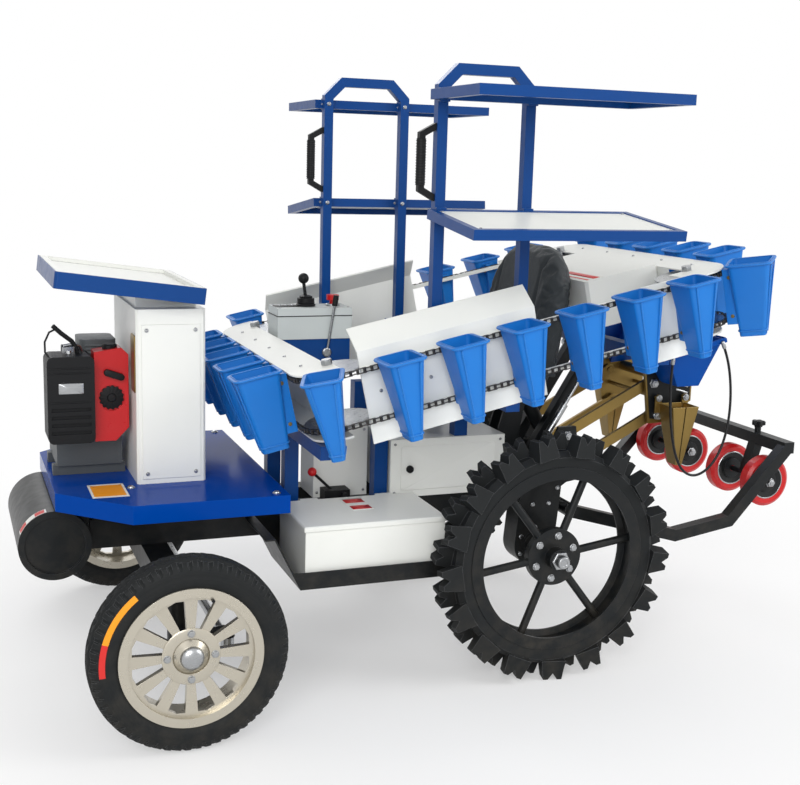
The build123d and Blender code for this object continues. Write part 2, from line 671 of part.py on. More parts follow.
# Seedling racks: hoops on the side panels, with shelves that reach outward
RACKS = (("left", 1, 330), ("right", -1, 405))
RACK_HIGH = RACK_TOP - RACK_LOW
UPPER, LOWER = (RACK_TOP - drop * RACK_HIGH for drop in SHELF_DROP)
SHELVES = (("upper", UPPER, 0), ("lower", LOWER, SHELF_TILT))
half_t = RACK_TUBE / 2
frames = []
sheets = []
handles = []
for name, side, x in RACKS:
    rear = x - RACK_SPAN
    hoop = ribbon([(x, RACK_LOW), (x, RACK_TOP - 60), (x - 46, RACK_TOP - half_t),
                   (rear + 46, RACK_TOP - half_t), (rear, RACK_TOP - 60), (rear, RACK_LOW)], half_t)
    rack = prism_y(hoop, RACK_Y - half_t, RACK_Y + half_t)
    for post in (x, rear):
        rack += block(post - 14, post + 14, RACK_Y + half_t, PANEL_IN, RACK_LOW, RACK_LOW + 50)
    for shelf, height, tilt in SHELVES:
        ring = block(0, SHELF_LONG, 0, SHELF_DEEP, 0, SHELF_H)
        ring -= block(SHELF_WALL, SHELF_LONG - SHELF_WALL, SHELF_WALL, SHELF_DEEP - SHELF_WALL, -1, SHELF_H + 1)
        plate = block(SHELF_WALL, SHELF_LONG - SHELF_WALL, SHELF_WALL, SHELF_DEEP - SHELF_WALL, SHELF_H - 8, SHELF_H - 3)
        seat = Pos(x + SHELF_LEAD - SHELF_LONG, RACK_Y + half_t, height) * Rot(-tilt, 0, 0)
        rack += seat * ring
        for post in (x, rear):
            rack += block(post - 14, post + 14, RACK_Y + half_t - 2, RACK_Y + half_t + 12, height - 4, height + 30)
        sheets.append(seat * plate if side > 0 else mirrored(seat * plate))
    grip = ribbon([(x + half_t - 2, UPPER - 64), (x + 52, UPPER - 86), (x + 52, LOWER + 74),
                   (x + half_t - 2, LOWER + 52)], 8)
    grip = prism_y(grip, RACK_Y - 9, RACK_Y + 9) - rack
    handles.append(grip if side > 0 else mirrored(grip))
    frames.append(rack if side > 0 else mirrored(rack))
keep("seedling_racks", group(frames))
keep("shelf_sheets", group(sheets))
keep("rack_handles", group(handles))

# Seat
slide = block(20, 250, -130, 130, SLIDE_Z, SEAT_Z)
keep("seat_slide", slide - block(109 - GAP, 149 + GAP, -140, 140, SLIDE_Z - 10, SEAT_Z + 1))
cushion = block(SEAT_X0, SEAT_X1, -205, 205, SEAT_Z, SEAT_Z + 86)
cushion = fillet(cushion.edges().filter_by(Axis.Z), 60)
cushion = fillet(cushion.edges().group_by(Axis.Z)[-1], 28)
keep("seat_cushion", cushion)
shape = [Line((-220, 0), (220, 0)), Line((220, 0), (220, 200)),
         ThreePointArc((220, 200), (150, 350), (0, 385)), ThreePointArc((0, 385), (-150, 350), (-220, 200)),
         Line((-220, 200), (-220, 0))]
back_plane = Plane(origin=(SEAT_X0 + 14, 0, SEAT_Z + 20), x_dir=(0, 1, 0), z_dir=(1, 0, 0))
back = extrude(back_plane * make_face(shape), amount=70, dir=(-1, 0, 0))
back = fillet(back.edges().group_by(Axis.X)[-1], 24)
tip_back = Pos(SEAT_X0, 0, SEAT_Z) * Rot(0, -12, 0) * Pos(-SEAT_X0, 0, -SEAT_Z)
back = tip_back * back - block(SEAT_X0 - GAP, SEAT_X1, -300, 300, SEAT_Z - 60, SEAT_Z + 90)
keep("seat_back", back)

# Control box on the right panel
keep("control_box", block(CONTROL_X0, CONTROL_X1, CONTROL_Y0, CONTROL_Y1, CONTROL_Z0, CONTROL_Z1))
boot_x = CONTROL_X0 + 130
control_y = (CONTROL_Y0 + CONTROL_Y1) / 2
lever = rod_z(boot_x, control_y, CONTROL_Z1, CONTROL_Z1 + 24, 26)
lever += rod((boot_x, control_y, CONTROL_Z1 + 20), (boot_x + 8, control_y, CONTROL_Z1 + 75), 5)
lever += Pos(boot_x + 8, control_y, CONTROL_Z1 + 84) * Sphere(16)
keep("control_lever", lever)
stop_x = CONTROL_X0 + 45
stop = rod_z(stop_x, control_y, CONTROL_Z1, CONTROL_Z1 + 18, 9)
stop += rod_z(stop_x, control_y, CONTROL_Z1 + 18, CONTROL_Z1 + 34, 19)
keep("red_knobs", group([stop, knob]))

# Planting frame: arms from the lift pivot, tool tube, press wheel forks, link plates
arm = ribbon([(LIFT_X, LIFT_Z), (-470, 330), (-660, 360), (TOOL_X, TOOL_Z)], FRAME_TUBE / 2)
half_f = FRAME_TUBE / 2
frame = both(prism_y(arm, FRAME_Y - half_f, FRAME_Y + half_f))
frame += rod_y(LIFT_X, LIFT_Z, -FRAME_Y, FRAME_Y, LIFT_R)
frame += block(TOOL_X - half_f, TOOL_X + half_f, -FRAME_Y - half_f, FRAME_Y + half_f, TOOL_Z - half_f, TOOL_Z + half_f)
fork = prism_y(ribbon([(TOOL_X, TOOL_Z), (PRESS_X, PRESS_Z)], 14), ROW_Y - 18, ROW_Y + 18)
fork += rod_y(PRESS_X, PRESS_Z, ROW_Y - PAIR_HALF - 30, ROW_Y + PAIR_HALF + 30, PRESS_PIN)
fork += rod_z(TOOL_X, ROW_Y, TOOL_Z, TOOL_Z + 34, 10)
frame += both(fork)
plate = prism_y([(LIFT_X + 20, LIFT_Z + 20), (LIFT_X - 22, LIFT_Z - 24), (P_LOW[0] - 26, P_LOW[1] - 16),
                 (P_LOW[0] - 26, P_LOW[1] + 20), (P_UP[0] - 28, P_UP[1] + 28), (P_UP[0] + 30, P_UP[1] + 28)],
                PLATE_Y - PLATE_W / 2, PLATE_Y + PLATE_W / 2)
for x, z in (P_UP, P_LOW):
    plate += rod_y(x, z, LINK_Y0 - 4, PLATE_Y, LINK_PIN)
frame += both(plate)
frame += rod_y(*CROSS_ROD, -PLATE_Y, PLATE_Y, 11)
lug = prism_y(ribbon([CROSS_ROD, CYL_EYE], 14), -5, 5)
frame += lug
keep("planting_frame", frame)


def press_wheel(y):
    tread = turned_y([(30, -PRESS_W / 2 + 8), (PRESS_R - 10, -PRESS_W / 2), (PRESS_R, -PRESS_W / 2 + 8),
                      (PRESS_R, PRESS_W / 2 - 8), (PRESS_R - 10, PRESS_W / 2), (30, PRESS_W / 2 - 8)])
    hub = turned_y([(PRESS_PIN + RUN, -PRESS_W / 2 + 2), (31, -PRESS_W / 2 + 2), (31, PRESS_W / 2 - 2),
                    (PRESS_PIN + RUN, PRESS_W / 2 - 2)])
    return Pos(PRESS_X, y, PRESS_Z) * (tread + hub)


PRESS_ROWS = (("left_outer", ROW_Y + PAIR_HALF), ("left_inner", ROW_Y - PAIR_HALF),
              ("right_inner", PAIR_HALF - ROW_Y), ("right_outer", -ROW_Y - PAIR_HALF))
for name, y in PRESS_ROWS:
    keep("press_wheel_" + name, press_wheel(y))


# Parallel links
def link(start, end, near, far):
    bar = prism_y(ribbon([start, end], 16), LINK_Y0, LINK_Y1)
    bar += rod_y(*start, LINK_Y0, LINK_Y1, 18) + rod_y(*end, LINK_Y0, LINK_Y1, 18)
    bar -= rod_y(*start, LINK_Y0 - 9, LINK_Y1 + 9, LINK_PIN + near)
    bar -= rod_y(*end, LINK_Y0 - 9, LINK_Y1 + 9, LINK_PIN + far)
    return both(bar)


keep("lower_links", link(P_LOW, H_LOW, RUN, RUN))
keep("upper_links", link(P_UP, H_UP, RUN, OPEN_PIN))

# Planting head: side plates, cross beam and the double hopper
outline = [(H_LOW[0] + 30, H_LOW[1] - 26), (H_UP[0] + 30, H_UP[1] + 22), (-470, 800), (-640, 800),
           (-640, 690), (-600, 668), (-550, 626)]
plate = prism_y(outline, PLATE_Y - PLATE_W / 2, PLATE_Y + PLATE_W / 2)
for x, z in (H_UP, H_LOW):
    plate += rod_y(x, z, LINK_Y0 - 4, PLATE_Y, LINK_PIN)
for side in (1, -1):
    plate -= rod_y(BILL_X + side * BILL_PIN_X, BILL_PIN_Z, 100, 180, BILL_PIN_R + RUN)
head = both(plate)
head += rod_y(BILL_X, 760, -PLATE_Y, PLATE_Y, 16)
keep("planting_head", head)


def hopper_half(outlet):
    long = HOPPER_X1 - HOPPER_X0
    middle = (HOPPER_X0 + HOPPER_X1) / 2
    tilt = Rot(0, HOPPER_TILT, 0)
    parts = []
    for t in (0, HOPPER_T):
        mouth = Pos(middle, HOPPER_Y / 2, HOPPER_Z + t / 2) * tilt * Rectangle(long - 2 * t, HOPPER_Y - 2 * t)
        base = Pos(BILL_X, outlet, SPOUT_Z - t / 2) * Rectangle(76 - 2 * t, 84 - 2 * t)
        parts.append(loft([base, mouth]))
    return parts


outer, inner = hopper_half(200)
rim = Box(HOPPER_X1 - HOPPER_X0 + 2 * RIM_OVER, 2 * HOPPER_Y + 2 * RIM_OVER, 12, align=(Align.CENTER, Align.CENTER, Align.MAX))
rim = Pos((HOPPER_X0 + HOPPER_X1) / 2, 0, HOPPER_Z) * Rot(0, HOPPER_TILT, 0) * rim
hopper = outer + mirrored(outer) + rim - inner - mirrored(inner)
keep("hopper", hopper - head)


# Duckbills: front and rear halves on two cross shafts
def bill(side):
    pin_x = BILL_X + side * BILL_PIN_X
    top = Plane((BILL_X + side * 24, 200, BILL_TOP)) * Rectangle(44, 84)
    tip = Plane((BILL_X + side * 6, 200, BILL_TIP)) * Rectangle(9, 46)
    solid = loft([tip, top])
    inner_top = Plane((BILL_X + side * 19, 200, BILL_TOP + 1)) * Rectangle(46, 76)
    inner_tip = Plane((BILL_X - side * 1, 200, BILL_TIP)) * Rectangle(16, 38)
    solid -= loft([inner_tip, inner_top])
    ear = block(pin_x - 11, pin_x + 11, 158, 164, BILL_TOP - 30, BILL_PIN_Z)
    solid += ear + rod_y(pin_x, BILL_PIN_Z, 158, 164, 11)
    solid = both(solid)
    return solid + rod_y(pin_x, BILL_PIN_Z, -166, 166, BILL_PIN_R)


keep("duckbill_front", bill(1))
keep("duckbill_rear", bill(-1))

# Control cable of the duckbills, a loop clipped at both ends to the hopper's side
route = [(-636, 897), (-654, 860), (-670, 808), (-680, 745), (-682, 680), (-675, 616), (-656, 556), (-621, 507),
         (-572, 485), (-527, 504), (-500, 551), (-483, 609), (-472, 671), (-466, 735), (-464, 798), (-468, 855)]
cable_y = HOPPER_Y + RIM_OVER + GAP + CABLE_R
points = [Vector(x, cable_y, z) for x, z in route]
radii = []
for before, here, after in zip(points, points[1:], points[2:]):
    turn = radians((here - before).get_angle(after - here))
    shorter = min((here - before).length, (after - here).length)
    radii.append(0.45 * shorter * cos(turn / 2) / sin(turn / 2))
path = FilletPolyline(*points, radius=radii)
start = Plane(origin=path @ 0, z_dir=path % 0)
keep("duckbill_cable", sweep(start * Circle(CABLE_R), path))
print("cable length", round(path.length), "radii", [round(r) for r in radii])

# Lift cylinder: barrel hung on the tower, rod down to the frame's lug
way = atan2(CYL_EYE[1] - CYL_TOP[1], CYL_EYE[0] - CYL_TOP[0])
long = hypot(CYL_EYE[0] - CYL_TOP[0], CYL_EYE[1] - CYL_TOP[1])
cyl_at = Location(Plane(origin=(CYL_TOP[0], 0, CYL_TOP[1]), x_dir=(0, 1, 0), z_dir=(cos(way), 0, sin(way))))
barrel = Pos(0, 0, 93) * Cylinder(22, 156) + Rot(0, 90, 0) * Cylinder(20, 34)
barrel -= Rot(0, 90, 0) * Cylinder(9 + RUN, 60)
barrel -= Pos(0, 0, 120) * Cylinder(10 + RUN, 160)
keep("lift_barrel", cyl_at * barrel)
ram = Pos(0, 0, 58 + (long - 40 - 58) / 2) * Cylinder(10, long - 40 - 58)
yoke = long - YOKE_REACH
ram += Pos(0, 0, yoke + YOKE_T / 2) * Box(32, 26, YOKE_T)
leg = YOKE_REACH + YOKE_END
ram += Pos(13, 0, yoke + leg / 2) * Box(6, 26, leg) + Pos(-13, 0, yoke + leg / 2) * Box(6, 26, leg)
keep("lift_rod", cyl_at * ram)

os.makedirs("parts", exist_ok=True)
for name, shape in nodes.items():
    export_step(shape, f"parts/{name}.step")
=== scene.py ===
# %% [markdown]
# # Dressing a vegetable transplanter
# The machine's solids come from CAD in metres, one object for each part, and every
# part already rides on the body that carries it. This lesson adds what CAD leaves out:
# finishes, rubber, chain links, screws, upholstery, a cable, light and a camera.

# %% Load the solids and keep their box
import math
import bmesh
import bpy
import numpy as np
from mathutils import Matrix, Vector


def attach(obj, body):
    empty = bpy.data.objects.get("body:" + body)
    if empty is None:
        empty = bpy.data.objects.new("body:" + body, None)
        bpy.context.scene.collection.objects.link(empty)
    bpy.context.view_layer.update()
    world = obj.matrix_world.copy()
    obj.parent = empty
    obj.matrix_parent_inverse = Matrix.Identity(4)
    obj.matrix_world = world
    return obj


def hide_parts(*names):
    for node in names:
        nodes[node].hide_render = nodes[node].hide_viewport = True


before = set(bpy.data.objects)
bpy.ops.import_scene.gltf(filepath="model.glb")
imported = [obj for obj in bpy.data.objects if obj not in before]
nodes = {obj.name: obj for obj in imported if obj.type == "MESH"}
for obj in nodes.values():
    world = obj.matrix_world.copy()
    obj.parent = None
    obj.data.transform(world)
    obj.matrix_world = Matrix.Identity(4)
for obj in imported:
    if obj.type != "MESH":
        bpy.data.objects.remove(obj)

scene = bpy.context.scene
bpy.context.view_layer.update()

# %% [markdown]
# ## Shapes as arrays
# A shape here is a pair: an array of points and an array of triangles. Surfaces could be
# modelled by hand with bmesh, but a formula on a grid gives the same piece every time
# and can be copied along a chain or round a wheel by one multiplication.

# %% Grids, welding and copies
REAR_AXLE = np.array([-0.2445, 0.0, 0.0])
OUTWARD, UPWARD, FORWARD = (0, 1, 0), (0, 0, 1), (1, 0, 0)


def mm(points):
    """Points in millimetres from the rear axle, as metres in the machine's frame: p / 1000 + axle."""
    return np.asarray(points, float) / 1000 + REAR_AXLE


def unit(ways):
    """Rows of vectors, each divided by its own length."""
    return ways / np.linalg.norm(ways, axis=1, keepdims=True)


def welded(grid, close_rows=False, close_columns=False):
    """Joins neighbouring points of a (rows, columns, 3) grid by two triangles per cell. Points at one
    place become one, so seams and poles close, and the volume's sign turns faces outward."""
    rows, columns = grid.shape[:2]
    r, c = np.indices((rows - (not close_rows), columns - (not close_columns)))
    next_r, next_c = (r + 1) % rows, (c + 1) % columns
    a, b = r * columns + c, next_r * columns + c
    d, e = r * columns + next_c, next_r * columns + next_c
    faces = np.stack([np.stack([a, b, e], -1), np.stack([a, e, d], -1)]).reshape(-1, 3)
    flat = grid.reshape(-1, 3)
    microns = np.round(flat * 1e6).astype(np.int64)
    _, first, back = np.unique(microns, axis=0, return_index=True, return_inverse=True)
    points, faces = flat[first], back.ravel()[faces]
    faces = faces[(np.diff(faces[:, [0, 1, 2, 0]], axis=1) != 0).all(1)]
    p, q, s = (points[faces[:, k]] for k in range(3))
    return points, faces if np.sum(p * np.cross(q, s)) > 0 else faces[:, ::-1]


def skinned(rings):
    """Joins closed rings of points one after another and closes both ends at the rings' middles."""
    ends = np.repeat(rings[[0, -1]].mean(1, keepdims=True), rings.shape[1], 1)
    return welded(np.concatenate([ends[:1], rings, ends[1:]]), close_columns=True)


def turned(profile, steps=24, lobes=0, depth=0.0, hollow=False):
    """A profile of (height, radius) pairs in millimetres goes round the local z axis:
    point = radius (1 + depth cos(lobes t)) (cos t, sin t) + height z. Both ends are closed at the
    axis, or, for a hollow ring, the last row is joined to the first."""
    profile = np.asarray(profile, float)
    if not hollow:
        profile = np.concatenate([profile[:1] * [1, 0], profile, profile[-1:] * [1, 0]])
    height, radius = profile.T / 1000
    t = np.arange(steps) * 2 * np.pi / steps
    reach = radius[:, None] * (1 + depth * np.cos(lobes * t))
    grid = np.stack([reach * np.cos(t), reach * np.sin(t), np.repeat(height[:, None], steps, 1)], -1)
    return welded(grid, close_rows=hollow, close_columns=True)


def hoop(profile, steps=40):
    """A ring with a hole, turned from a closed profile."""
    return turned(profile, steps, hollow=True)


def rounded_line(long, wide, corner, height=0, middle=0, sides=6):
    """Points of a rounded rectangle at one height, given in millimetres and returned in metres:
    corner centres plus corner (cos a, sin a)."""
    a = (np.arange(4)[:, None] * np.pi / 2 + np.linspace(0, np.pi / 2, sides)).ravel()
    x = np.repeat([1, -1, -1, 1], sides) * (long / 2 - corner) + corner * np.cos(a)
    y = np.repeat([1, 1, -1, -1], sides) * (wide / 2 - corner) + corner * np.sin(a) + middle
    return np.stack([x, y, np.full(len(x), float(height))], -1) / 1000


def plate(long, wide, thick, corner):
    """A flat plate in millimetres that stands on z = 0: a rounded line at three heights, the last
    one drawn in by the bevel of the top edge."""
    bevel = min(thick * 0.4, 1.0)
    rim = rounded_line(long, wide, corner, sides=5)
    rows = [(0, 1), (thick - bevel, 1), (thick, 1 - 2 * bevel / min(long, wide))]
    return skinned(np.stack([rim * [k, k, 1] + [0, 0, z / 1000] for z, k in rows]))


def tube(path, radius, sides=8, closed=False):
    """A round tube in metres along a path: point = path + radius (cos a side + sin a other),
    where side and other stand square to the path's way."""
    path = np.asarray(path, float)
    way = np.roll(path, -1, 0) - np.roll(path, 1, 0)
    if not closed:
        way[0], way[-1] = path[1] - path[0], path[-1] - path[-2]
    way = unit(way)
    side = unit(np.cross(way, np.eye(3)[np.argmin(np.ptp(path, axis=0))]))
    a = np.arange(sides) * 2 * np.pi / sides
    ring = np.cos(a)[:, None] * side[:, None] + np.sin(a)[:, None] * np.cross(way, side)[:, None]
    grid = path[:, None] + radius * ring
    return welded(grid, close_rows=True, close_columns=True) if closed else skinned(grid)


def copies(shape, places, up, along=FORWARD):
    """Sets a shape at every place, in metres, with its z on `up` and its x near `along`:
    point = place + x side + y other + z up."""
    points, faces = shape
    places = np.atleast_2d(np.asarray(places, float))
    up, side = (np.broadcast_to(np.asarray(way, float), places.shape) for way in (up, along))
    up = unit(up)
    side = unit(side - up * np.sum(side * up, 1, keepdims=True))
    axes = np.stack([side, np.cross(up, side), up], 1)
    made = np.einsum("pk,nkc->npc", points, axes) + places[:, None]
    numbers = faces[None] + (np.arange(len(places)) * len(points))[:, None, None]
    return made.reshape(-1, 3), numbers.reshape(-1, 3)


def fitted(shape, places, up, along=FORWARD):
    """Copies at places in millimetres from the rear axle."""
    return copies(shape, mm(places), up, along)


def joined(*shapes):
    """Several shapes as one: points stacked, triangle numbers moved on by the points before them."""
    starts = np.cumsum([0] + [len(points) for points, _ in shapes[:-1]])
    return (np.concatenate([points for points, _ in shapes]),
            np.concatenate([faces + start for (_, faces), start in zip(shapes, starts)]))


def mirrored(shape):
    """The shape on the machine's other side: y changes sign and each triangle turns round."""
    return shape[0] * [1, -1, 1], shape[1][:, ::-1]


def both(shape):
    """The shape and its mirror image as one."""
    return joined(shape, mirrored(shape))


print("helpers ready")

# %% [markdown]
# ## Finishes
# The machine wears gloss and satin paint, moulded plastic, yellow-passivated zinc, cast alloy,
# oily chain steel, rubber and vinyl. Each effect that several of them share is one shader group:
# a paint skin with orange peel, softened edges, road dust, a moulded grain and drawn-metal lines.

# %% Shader groups
SOCKETS = {3: "NodeSocketVector", 4: "NodeSocketColor"}


def shader_group(name, inputs, outputs):
    """An empty node group. An input is a name and its default: four numbers make a colour, three a
    vector, one a plain value. An output is a name and its kind."""
    group = bpy.data.node_groups.new(name, "ShaderNodeTree")
    for label, default in inputs.items():
        kind = SOCKETS.get(np.size(default), "NodeSocketFloat")
        group.interface.new_socket(label, in_out="INPUT", socket_type=kind).default_value = default
    for label, kind in outputs.items():
        group.interface.new_socket(label, in_out="OUTPUT", socket_type="NodeSocket" + kind)
    return group, group.nodes.new("NodeGroupInput").outputs, group.nodes.new("NodeGroupOutput").inputs


def node(tree, kind, values=None, **settings):
    """Adds a node, sets its own settings, then its inputs: a socket is linked and a number is written."""
    made = tree.nodes.new("ShaderNode" + kind)
    for key, value in settings.items():
        setattr(made, key, value)
    for key, value in (values or {}).items():
        if isinstance(value, bpy.types.NodeSocket):
            tree.links.new(value, made.inputs[key])
        else:
            made.inputs[key].default_value = value
    return made


def maths(tree, operation, first, second):
    """One operation on two values."""
    return node(tree, "Math", {0: first, 1: second}, operation=operation).outputs[0]


def noise(tree, where, scale, **values):
    """A cloud of values between 0 and 1."""
    return node(tree, "TexNoise", {"Vector": where, "Scale": scale, **values}).outputs[0]


def mixed(tree, factor, first, second):
    """A colour between two others."""
    return node(tree, "Mix", {0: factor, 6: first, 7: second}, data_type="RGBA").outputs[2]


def ranged(tree, value, low, high, to_low=0.0, to_high=1.0):
    """A value carried from one range to another and held inside it."""
    return node(tree, "MapRange", {0: value, 1: low, 2: high, 3: to_low, 4: to_high}).outputs[0]


skin, given, out = shader_group(
    "paint_skin", {"Colour": (1, 1, 1, 1), "Roughness": 0.3, "Mottle": 0.1, "Peel": 300.0},
    {"Colour": "Color", "Roughness": "Float", "Height": "Float"})
where = node(skin, "TexCoord").outputs["Object"]
cloud = noise(skin, where, 5.0, Detail=5.0, Roughness=0.6)
grime = noise(skin, where, 38.0, Detail=4.0)
peel = noise(skin, where, given["Peel"], Detail=2.0)
shade = node(skin, "HueSaturation", {"Color": given["Colour"], "Saturation": 0.93, "Value": 0.72}).outputs[0]
amount = maths(skin, "MULTIPLY", ranged(skin, cloud, 0.35, 0.75), given["Mottle"])
rough = maths(skin, "ADD", ranged(skin, grime, 0.3, 0.7, -0.03, 0.05), given["Roughness"])
skin.links.new(mixed(skin, amount, given["Colour"], shade), out["Colour"])
skin.links.new(rough, out["Roughness"])
skin.links.new(peel, out["Height"])

edges, given, out = shader_group("soft_edges", {"Radius": 0.002}, {"Normal": "Vector", "Edge": "Float"})
rounded = node(edges, "Bevel", {"Radius": given["Radius"]}, samples=4).outputs[0]
plain = node(edges, "NewGeometry").outputs["Normal"]
facing = node(edges, "VectorMath", {0: rounded, 1: plain}, operation="DOT_PRODUCT").outputs["Value"]
edges.links.new(rounded, out["Normal"])
edges.links.new(ranged(edges, facing, 0.98, 0.75), out["Edge"])

dust, given, out = shader_group(
    "field_dust", {"Colour": (1, 1, 1, 1), "Dust": (0.3, 0.25, 0.18, 1), "Reach": 0.5, "Amount": 0.3},
    {"Colour": "Color", "Mask": "Float"})
where = node(dust, "TexCoord").outputs["Object"]
high = node(dust, "SeparateXYZ", {0: where}).outputs[2]
low = ranged(dust, high, 0.0, given["Reach"], 1.0, 0.0)
patch = noise(dust, where, 22.0, Detail=6.0, Roughness=0.65)
mask = maths(dust, "MULTIPLY", low, ranged(dust, patch, 0.4, 0.68))
mask = maths(dust, "MULTIPLY", mask, given["Amount"])
dust.links.new(mixed(dust, mask, given["Colour"], given["Dust"]), out["Colour"])
dust.links.new(mask, out["Mask"])

grain, given, out = shader_group("moulded_grain", {"Scale": 400.0, "Wrinkle": 0.3}, {"Height": "Float"})
where = node(grain, "TexCoord").outputs["Object"]
cells = node(grain, "TexVoronoi", {"Vector": where, "Scale": given["Scale"]}, feature="DISTANCE_TO_EDGE")
fold = noise(grain, where, 24.0, Detail=3.0, Distortion=0.8)
fold = maths(grain, "MULTIPLY", fold, given["Wrinkle"])
grain.links.new(maths(grain, "ADD", ranged(grain, cells.outputs[0], 0.0, 0.12), fold), out["Height"])

drawn, given, out = shader_group("drawn_lines", {"Stretch": (8, 300, 300), "Roughness": 0.35},
                                 {"Roughness": "Float", "Height": "Float"})
where = node(drawn, "TexCoord").outputs["Object"]
spread = node(drawn, "VectorMath", {0: where, 1: given["Stretch"]}, operation="MULTIPLY").outputs[0]
line = noise(drawn, spread, 1.0, Detail=4.0)
rough = maths(drawn, "ADD", ranged(drawn, line, 0.3, 0.7, -0.05, 0.05), given["Roughness"])
drawn.links.new(rough, out["Roughness"])
drawn.links.new(line, out["Height"])
print("groups", [group.name for group in bpy.data.node_groups])


# %% [markdown]
# ## Materials
# A material takes a colour as read from the picture, in 0 to 255, and picks its effects:
# paint and plastic use the paint skin, metals the drawn lines, and low parts the dust.
# Constant values go straight on the shader's own sockets.

# %% Materials by slot
def linear(red, green, blue):
    """A colour in 0 to 255 as linear light: c / 12.92 when dark, else ((c + 0.055) / 1.055) ** 2.4."""
    c = np.array([red, green, blue]) / 255
    return (*np.where(c <= 0.04045, c / 12.92, ((c + 0.055) / 1.055) ** 2.4), 1.0)


materials = {}


def finish(name, colour, roughness, mottle=0.12, peel=300.0, bump=0.06, metal=0.0, coat=0.0, edge_wear_and_highlight=None,
           wear=0.25, soil=0.0, reach=0.5, lines=None, cells=None, wrinkle=0.0, radius=0.0018, shine=0.3):
    """One material: colour through the paint skin, edge wear and dust; height into a bump on the
    softened normal. On rubber the lighter edges are partly wear and partly a painted highlight. Bump is in
    millimetres, radius and reach are in metres."""
    made = bpy.data.materials.new(name)
    made.use_nodes = True
    tree = made.node_tree
    shader = tree.nodes["Principled BSDF"]
    shader.inputs["Metallic"].default_value = metal
    shader.inputs["Coat Weight"].default_value = coat
    shader.inputs["Specular IOR Level"].default_value = shine
    shader.inputs["Coat Roughness"].default_value = 0.08

    def use(group, **values):
        return node(tree, "Group", values, node_tree=group).outputs

    surface = use(skin, Colour=linear(*colour), Roughness=roughness, Mottle=mottle, Peel=peel)
    soft = use(edges, Radius=radius)
    shown, height, rough = surface["Colour"], surface["Height"], surface["Roughness"]
    # Lighter colour along the edges: edge wear, and on rubber partly a painted highlight.
    if edge_wear_and_highlight:
        shown = mixed(tree, maths(tree, "MULTIPLY", soft["Edge"], wear), shown, linear(*edge_wear_and_highlight))
    if soil:
        shown = use(dust, Colour=shown, Reach=reach, Amount=soil)["Colour"]
    if lines:
        streak = use(drawn, Stretch=lines, Roughness=roughness)
        height, rough = streak["Height"], streak["Roughness"]
    if cells:
        height = use(grain, Scale=cells, Wrinkle=wrinkle)["Height"]
    raised = node(tree, "Bump", {"Strength": 0.35, "Distance": bump / 1000, "Height": height,
                                 "Normal": soft["Normal"]})
    tree.links.new(shown, shader.inputs["Base Color"])
    tree.links.new(rough, shader.inputs["Roughness"])
    tree.links.new(raised.outputs[0], shader.inputs["Normal"])
    materials[name] = made


finish("royal_blue", (4, 60, 124), 0.32, mottle=0.06, coat=0.03, edge_wear_and_highlight=(60, 110, 180), soil=0.08, shine=0.2)
finish("deck_blue", (0, 62, 150), 0.15, mottle=0.03, bump=0.02, edge_wear_and_highlight=(60, 120, 200), shine=0.04)
finish("cup_blue", (18, 114, 198), 0.4, mottle=0.22, peel=160, edge_wear_and_highlight=(120, 180, 230), wear=0.4)
finish("hopper_blue", (0, 74, 160), 0.34, peel=160, edge_wear_and_highlight=(90, 140, 220), wear=0.4, shine=0.1)
finish("white_paint", (230, 231, 226), 0.34, mottle=0.08, coat=0.02, edge_wear_and_highlight=(242, 242, 240), soil=0.07,
       shine=0.18)
finish("black_paint", (18, 21, 23), 0.38, coat=0.05, edge_wear_and_highlight=(72, 76, 80), wear=0.35, soil=0.1, reach=0.6,
       shine=0.22)
finish("black_plastic", (17, 18, 20), 0.48, cells=520, bump=0.12, edge_wear_and_highlight=(60, 62, 64), shine=0.2)
finish("steel", (168, 170, 172), 0.3, metal=1.0, lines=(8, 260, 260), bump=0.008, edge_wear_and_highlight=(210, 210, 212))
finish("chain_steel", (74, 72, 70), 0.38, metal=1.0, mottle=0.5, peel=700, edge_wear_and_highlight=(160, 158, 152), wear=0.5,
       radius=0.0006)
finish("alloy", (190, 184, 170), 0.28, mottle=0.04, metal=0.8, bump=0.005, edge_wear_and_highlight=(222, 222, 218), soil=0.06,
       radius=0.0008)
# Rubber: the lighter edge colour is partly wear and partly a painted highlight on the edges of the tread
# blocks and lugs.
finish("rubber", (29, 31, 32), 0.62, mottle=0.3, peel=620, bump=0.16, edge_wear_and_highlight=(112, 114, 116), wear=0.7,
       soil=0.06, radius=0.0026, shine=0.16)
finish("red_paint", (188, 10, 18), 0.3, coat=0.2, edge_wear_and_highlight=(225, 80, 76), soil=0.06, reach=0.7)
finish("red_plastic", (188, 14, 20), 0.36, coat=0.12, peel=200, edge_wear_and_highlight=(226, 96, 88), soil=0.1, reach=0.6)
finish("zinc", (142, 118, 66), 0.36, mottle=0.55, metal=0.85, peel=260, edge_wear_and_highlight=(196, 178, 128), wear=0.5)
finish("vinyl", (44, 49, 52), 0.5, mottle=0.3, cells=430, wrinkle=2.4, bump=0.5, edge_wear_and_highlight=(84, 88, 92),
       radius=0.004)
finish("grey_plastic", (192, 198, 197), 0.46, cells=560, bump=0.1, edge_wear_and_highlight=(214, 216, 216))
finish("engine_grey", (84, 88, 90), 0.5, metal=0.5, mottle=0.35, peel=480, bump=0.3, edge_wear_and_highlight=(150, 152, 154),
       wear=0.5)
print("materials", len(materials))

# %% [markdown]
# ## Who wears what
# The parts could be painted one by one. A list for each finish is shorter and shows at a glance
# which parts share it.

